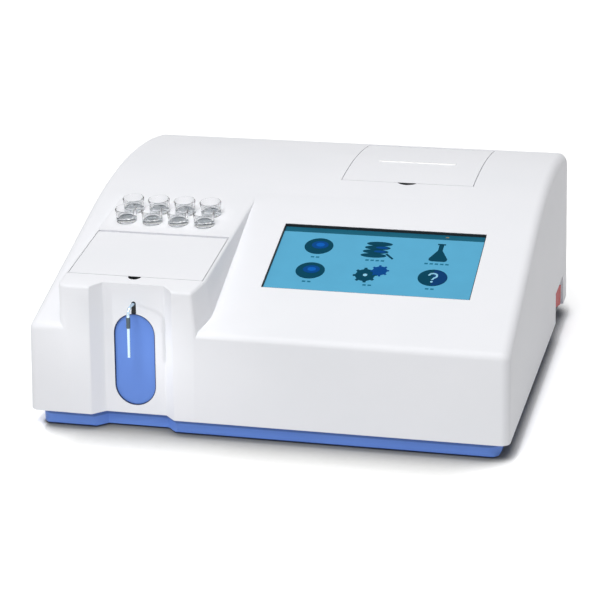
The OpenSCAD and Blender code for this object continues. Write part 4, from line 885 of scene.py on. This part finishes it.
# Screws at the fan's corners and along the rear panel's sides, their lift, and the guard's.
FAN_HOLD = 25.0
PANEL_SCREW_X = 136.0
PANEL_SCREW_Z = (28.0, 98.0)
SCREW_LIFT = 0.5
GUARD_LIFT = 0.75
SCREW_SIZES = {"Head radius": 2.6 * MM, "Head height": 1.2 * MM, "Recess": 0.7 * MM}
GUARD_SIZES = {"First ring": 7.0 * MM, "Ring step": 5.5 * MM, "Rings": 5, "Wire radius": 0.75 * MM,
               "Spoke": 31.5 * MM}
# The tear teeth: their pitch, their height, and the first one's place in the slot.
TEETH_PITCH = 1.0
TEETH_SIZES = {"Pitch": TEETH_PITCH * MM, "Teeth": int(2 * SLOT_HALF / TEETH_PITCH), "Tooth": 0.7 * MM}
TEETH_START = (0.5 - SLOT_HALF, -0.75, 0.3)


def make_repeats():
    """Screws and a wire guard at the back, and the tear teeth of the paper slot."""
    corners = [(s, t) for s in (-1, 1) for t in (-1, 1)]
    screws = [(-FAN_X + s * FAN_HOLD, FAN_Z + t * FAN_HOLD, SCREW_LIFT) for s, t in corners]
    screws += [(s * PANEL_SCREW_X, z, SCREW_LIFT) for s in (-1, 1) for z in PANEL_SCREW_Z]
    mesh = grown_mesh("rear_screws", screw_tree(zinc_steel), screws, SCREW_SIZES, REAR)
    place_piece(mesh, "rear_screws", "case")
    hub = [(-FAN_X, FAN_Z, GUARD_LIFT)]
    mesh = grown_mesh("fan_guard", guard_tree(chromed_wire), hub, GUARD_SIZES, REAR)
    place_piece(mesh, "fan_guard", "case")
    mesh = grown_mesh("tear_teeth", teeth_tree(zinc_steel), [TEETH_START], TEETH_SIZES, PAPER_SLOT)
    place_piece(mesh, "tear_teeth", "door")


make_repeats()

# Studio: a pale floor that runs into a white ground, and soft lamps. All lengths from here on are metres.
WORLD_LIGHT = 0.2
WORLD_SEEN = 1.0
FLOOR_HALF = 4.0
FLOOR_ROUGH = 0.9
PAPER_TONE = "#F4F4F4"
PAINTED_SHADOW_TONE = "#8C8A82"
# The painted contact shadow reaches far in front of the case and little at its ends, where X runs between
# these.
LEFT_END = (-0.172, -0.135)
RIGHT_END = (0.14, 0.182)
REACH_LEFT = 0.004
REACH_MIDDLE = 0.08
REACH_RIGHT = 0.016
OPEN_SPAN = (0.45, 0.97)
# The floor's own light rises with the distance from the case, so that it meets the white ground.
FILL_SPAN = (0.5, 1.6)
FILL_NEAR = 0.55
FILL_FAR = 1.0


def seen_rays(tree):
    """1 for rays that show the ground, straight or by gloss and glass, and 0 for rays that only light."""
    path = add(tree, "ShaderNodeLightPath").outputs
    seen = add(tree, "ShaderNodeMath", {
        0: path["Is Camera Ray"], 1: path["Is Glossy Ray"],
    }, operation="MAXIMUM")
    seen = add(tree, "ShaderNodeMath", {
        0: seen.outputs[0], 1: path["Is Transmission Ray"],
    }, operation="MAXIMUM")
    return seen.outputs[0]


def make_world():
    """A white surround that is seen at full strength and lights with a small part of it."""
    world = bpy.data.worlds.new("studio")
    bpy.context.scene.world = world
    world.use_nodes = True
    tree = world.node_tree
    tree.nodes.clear()
    level = add(tree, "ShaderNodeMapRange", {
        "Value": seen_rays(tree), "To Min": WORLD_LIGHT, "To Max": WORLD_SEEN,
    })
    glow = add(tree, "ShaderNodeBackground", {
        "Color": linear("#FFFFFF"), "Strength": level.outputs["Result"],
    })
    add(tree, "ShaderNodeOutputWorld", {"Surface": glow.outputs["Background"]})


def floor_paper():
    """Matt studio paper: white in the open, with a painted contact shadow around what stands on it."""
    material, tree, shader, coords = new_material("studio_paper")
    shader.inputs["Roughness"].default_value = FLOOR_ROUGH
    place = add(tree, "ShaderNodeSeparateXYZ", {"Vector": coords})
    left = add(tree, "ShaderNodeMapRange", {
        "Value": place.outputs["X"], "From Min": LEFT_END[0], "From Max": LEFT_END[1],
        "To Min": REACH_LEFT, "To Max": REACH_MIDDLE,
    })
    right = add(tree, "ShaderNodeMapRange", {
        "Value": place.outputs["X"], "From Min": RIGHT_END[0], "From Max": RIGHT_END[1],
        "To Min": REACH_MIDDLE, "To Max": REACH_RIGHT,
    })
    reach = add(tree, "ShaderNodeMath", {
        0: left.outputs["Result"], 1: right.outputs["Result"],
    }, operation="MINIMUM")
    near = add(tree, "ShaderNodeAmbientOcclusion", {"Distance": reach.outputs[0]}, samples=12)
    open_sky = add(tree, "ShaderNodeMapRange", {
        "Value": near.outputs["AO"], "From Min": OPEN_SPAN[0], "From Max": OPEN_SPAN[1],
    })
    seen = seen_rays(tree)
    bounce = add(tree, "ShaderNodeMath", {0: 1.0, 1: seen}, operation="SUBTRACT")
    clean = add(tree, "ShaderNodeMath", {
        0: open_sky.outputs["Result"], 1: bounce.outputs[0],
    }, operation="MAXIMUM")
    # Painted shadow: the paper's colour turns to the dark tone where the floor is hemmed in, for the rays
    # that show it.
    tone = add(tree, "ShaderNodeMix", {
        "Factor": clean.outputs[0], "A": linear(PAINTED_SHADOW_TONE), "B": linear(PAPER_TONE),
    }, data_type="RGBA")
    tree.links.new(tone.outputs["Result"], shader.inputs["Base Color"])
    # Painted shadow in the glow too: the paper's own light fades where it is hemmed in.
    lit = add(tree, "ShaderNodeMath", {0: seen, 1: open_sky.outputs["Result"]}, operation="MULTIPLY")
    far = add(tree, "ShaderNodeVectorMath", {0: coords}, operation="LENGTH")
    level = add(tree, "ShaderNodeMapRange", {
        "Value": far.outputs["Value"], "From Min": FILL_SPAN[0], "From Max": FILL_SPAN[1],
        "To Min": FILL_NEAR, "To Max": FILL_FAR,
    })
    fill = add(tree, "ShaderNodeMath", {
        0: lit.outputs[0], 1: level.outputs["Result"],
    }, operation="MULTIPLY")
    tree.links.new(fill.outputs[0], shader.inputs["Emission Strength"])
    shader.inputs["Emission Color"].default_value = linear("#FFFFFF")
    return material


def make_floor():
    """The flat floor, which isn't part of the object."""
    shape = bmesh.new()
    bmesh.ops.create_grid(shape, x_segments=1, y_segments=1, size=FLOOR_HALF)
    mesh = bpy.data.meshes.new("studio_floor")
    shape.to_mesh(mesh)
    shape.free()
    floor = bpy.data.objects.new("studio_floor", mesh)
    bpy.context.scene.collection.objects.link(floor)
    mesh.materials.append(floor_paper())


# Soft lamps: name, place, aim, width and height, and power in watts.
SOFT_LAMPS = (
    ("high_lamp", (-0.3, -1.5, 2.2), (0, 0, 0.05), (0.8, 0.8), 32),
    ("overhead_lamp", (0.1, -0.3, 2.4), (0, -0.05, 0), (1.4, 1.2), 19),
)
# A small spot that lights only the sample channel, so that the needle throws its shadow there.
SNOOT_PLACE = (-1.9, -1.15, 0.6)
SNOOT_AIM = (-0.084, -0.165, 0.064)
SNOOT_CONE = 2.2
SNOOT_SOFT = 0.03
SNOOT_POWER = 85


def hang_lamp(data, place, aim, power):
    """Hangs a lamp at its place and turns it towards its aim."""
    data.energy = power
    lamp = bpy.data.objects.new(data.name, data)
    lamp.location = place
    lamp.rotation_euler = (Vector(place) - Vector(aim)).to_track_quat("Z", "Y").to_euler()
    bpy.context.scene.collection.objects.link(lamp)


def make_lamps():
    """The soft lamps and the channel's spot."""
    for name, place, aim, size, power in SOFT_LAMPS:
        data = bpy.data.lights.new(name, "AREA")
        data.shape = "RECTANGLE"
        data.size, data.size_y = size
        hang_lamp(data, place, aim, power)
    data = bpy.data.lights.new("channel_snoot", "SPOT")
    data.spot_size = math.radians(SNOOT_CONE)
    data.spot_blend = 1.0
    data.shadow_soft_size = SNOOT_SOFT
    hang_lamp(data, SNOOT_PLACE, SNOOT_AIM, SNOOT_POWER)


make_world()
make_floor()
make_lamps()

bpy.context.scene.view_settings.view_transform = "Standard"
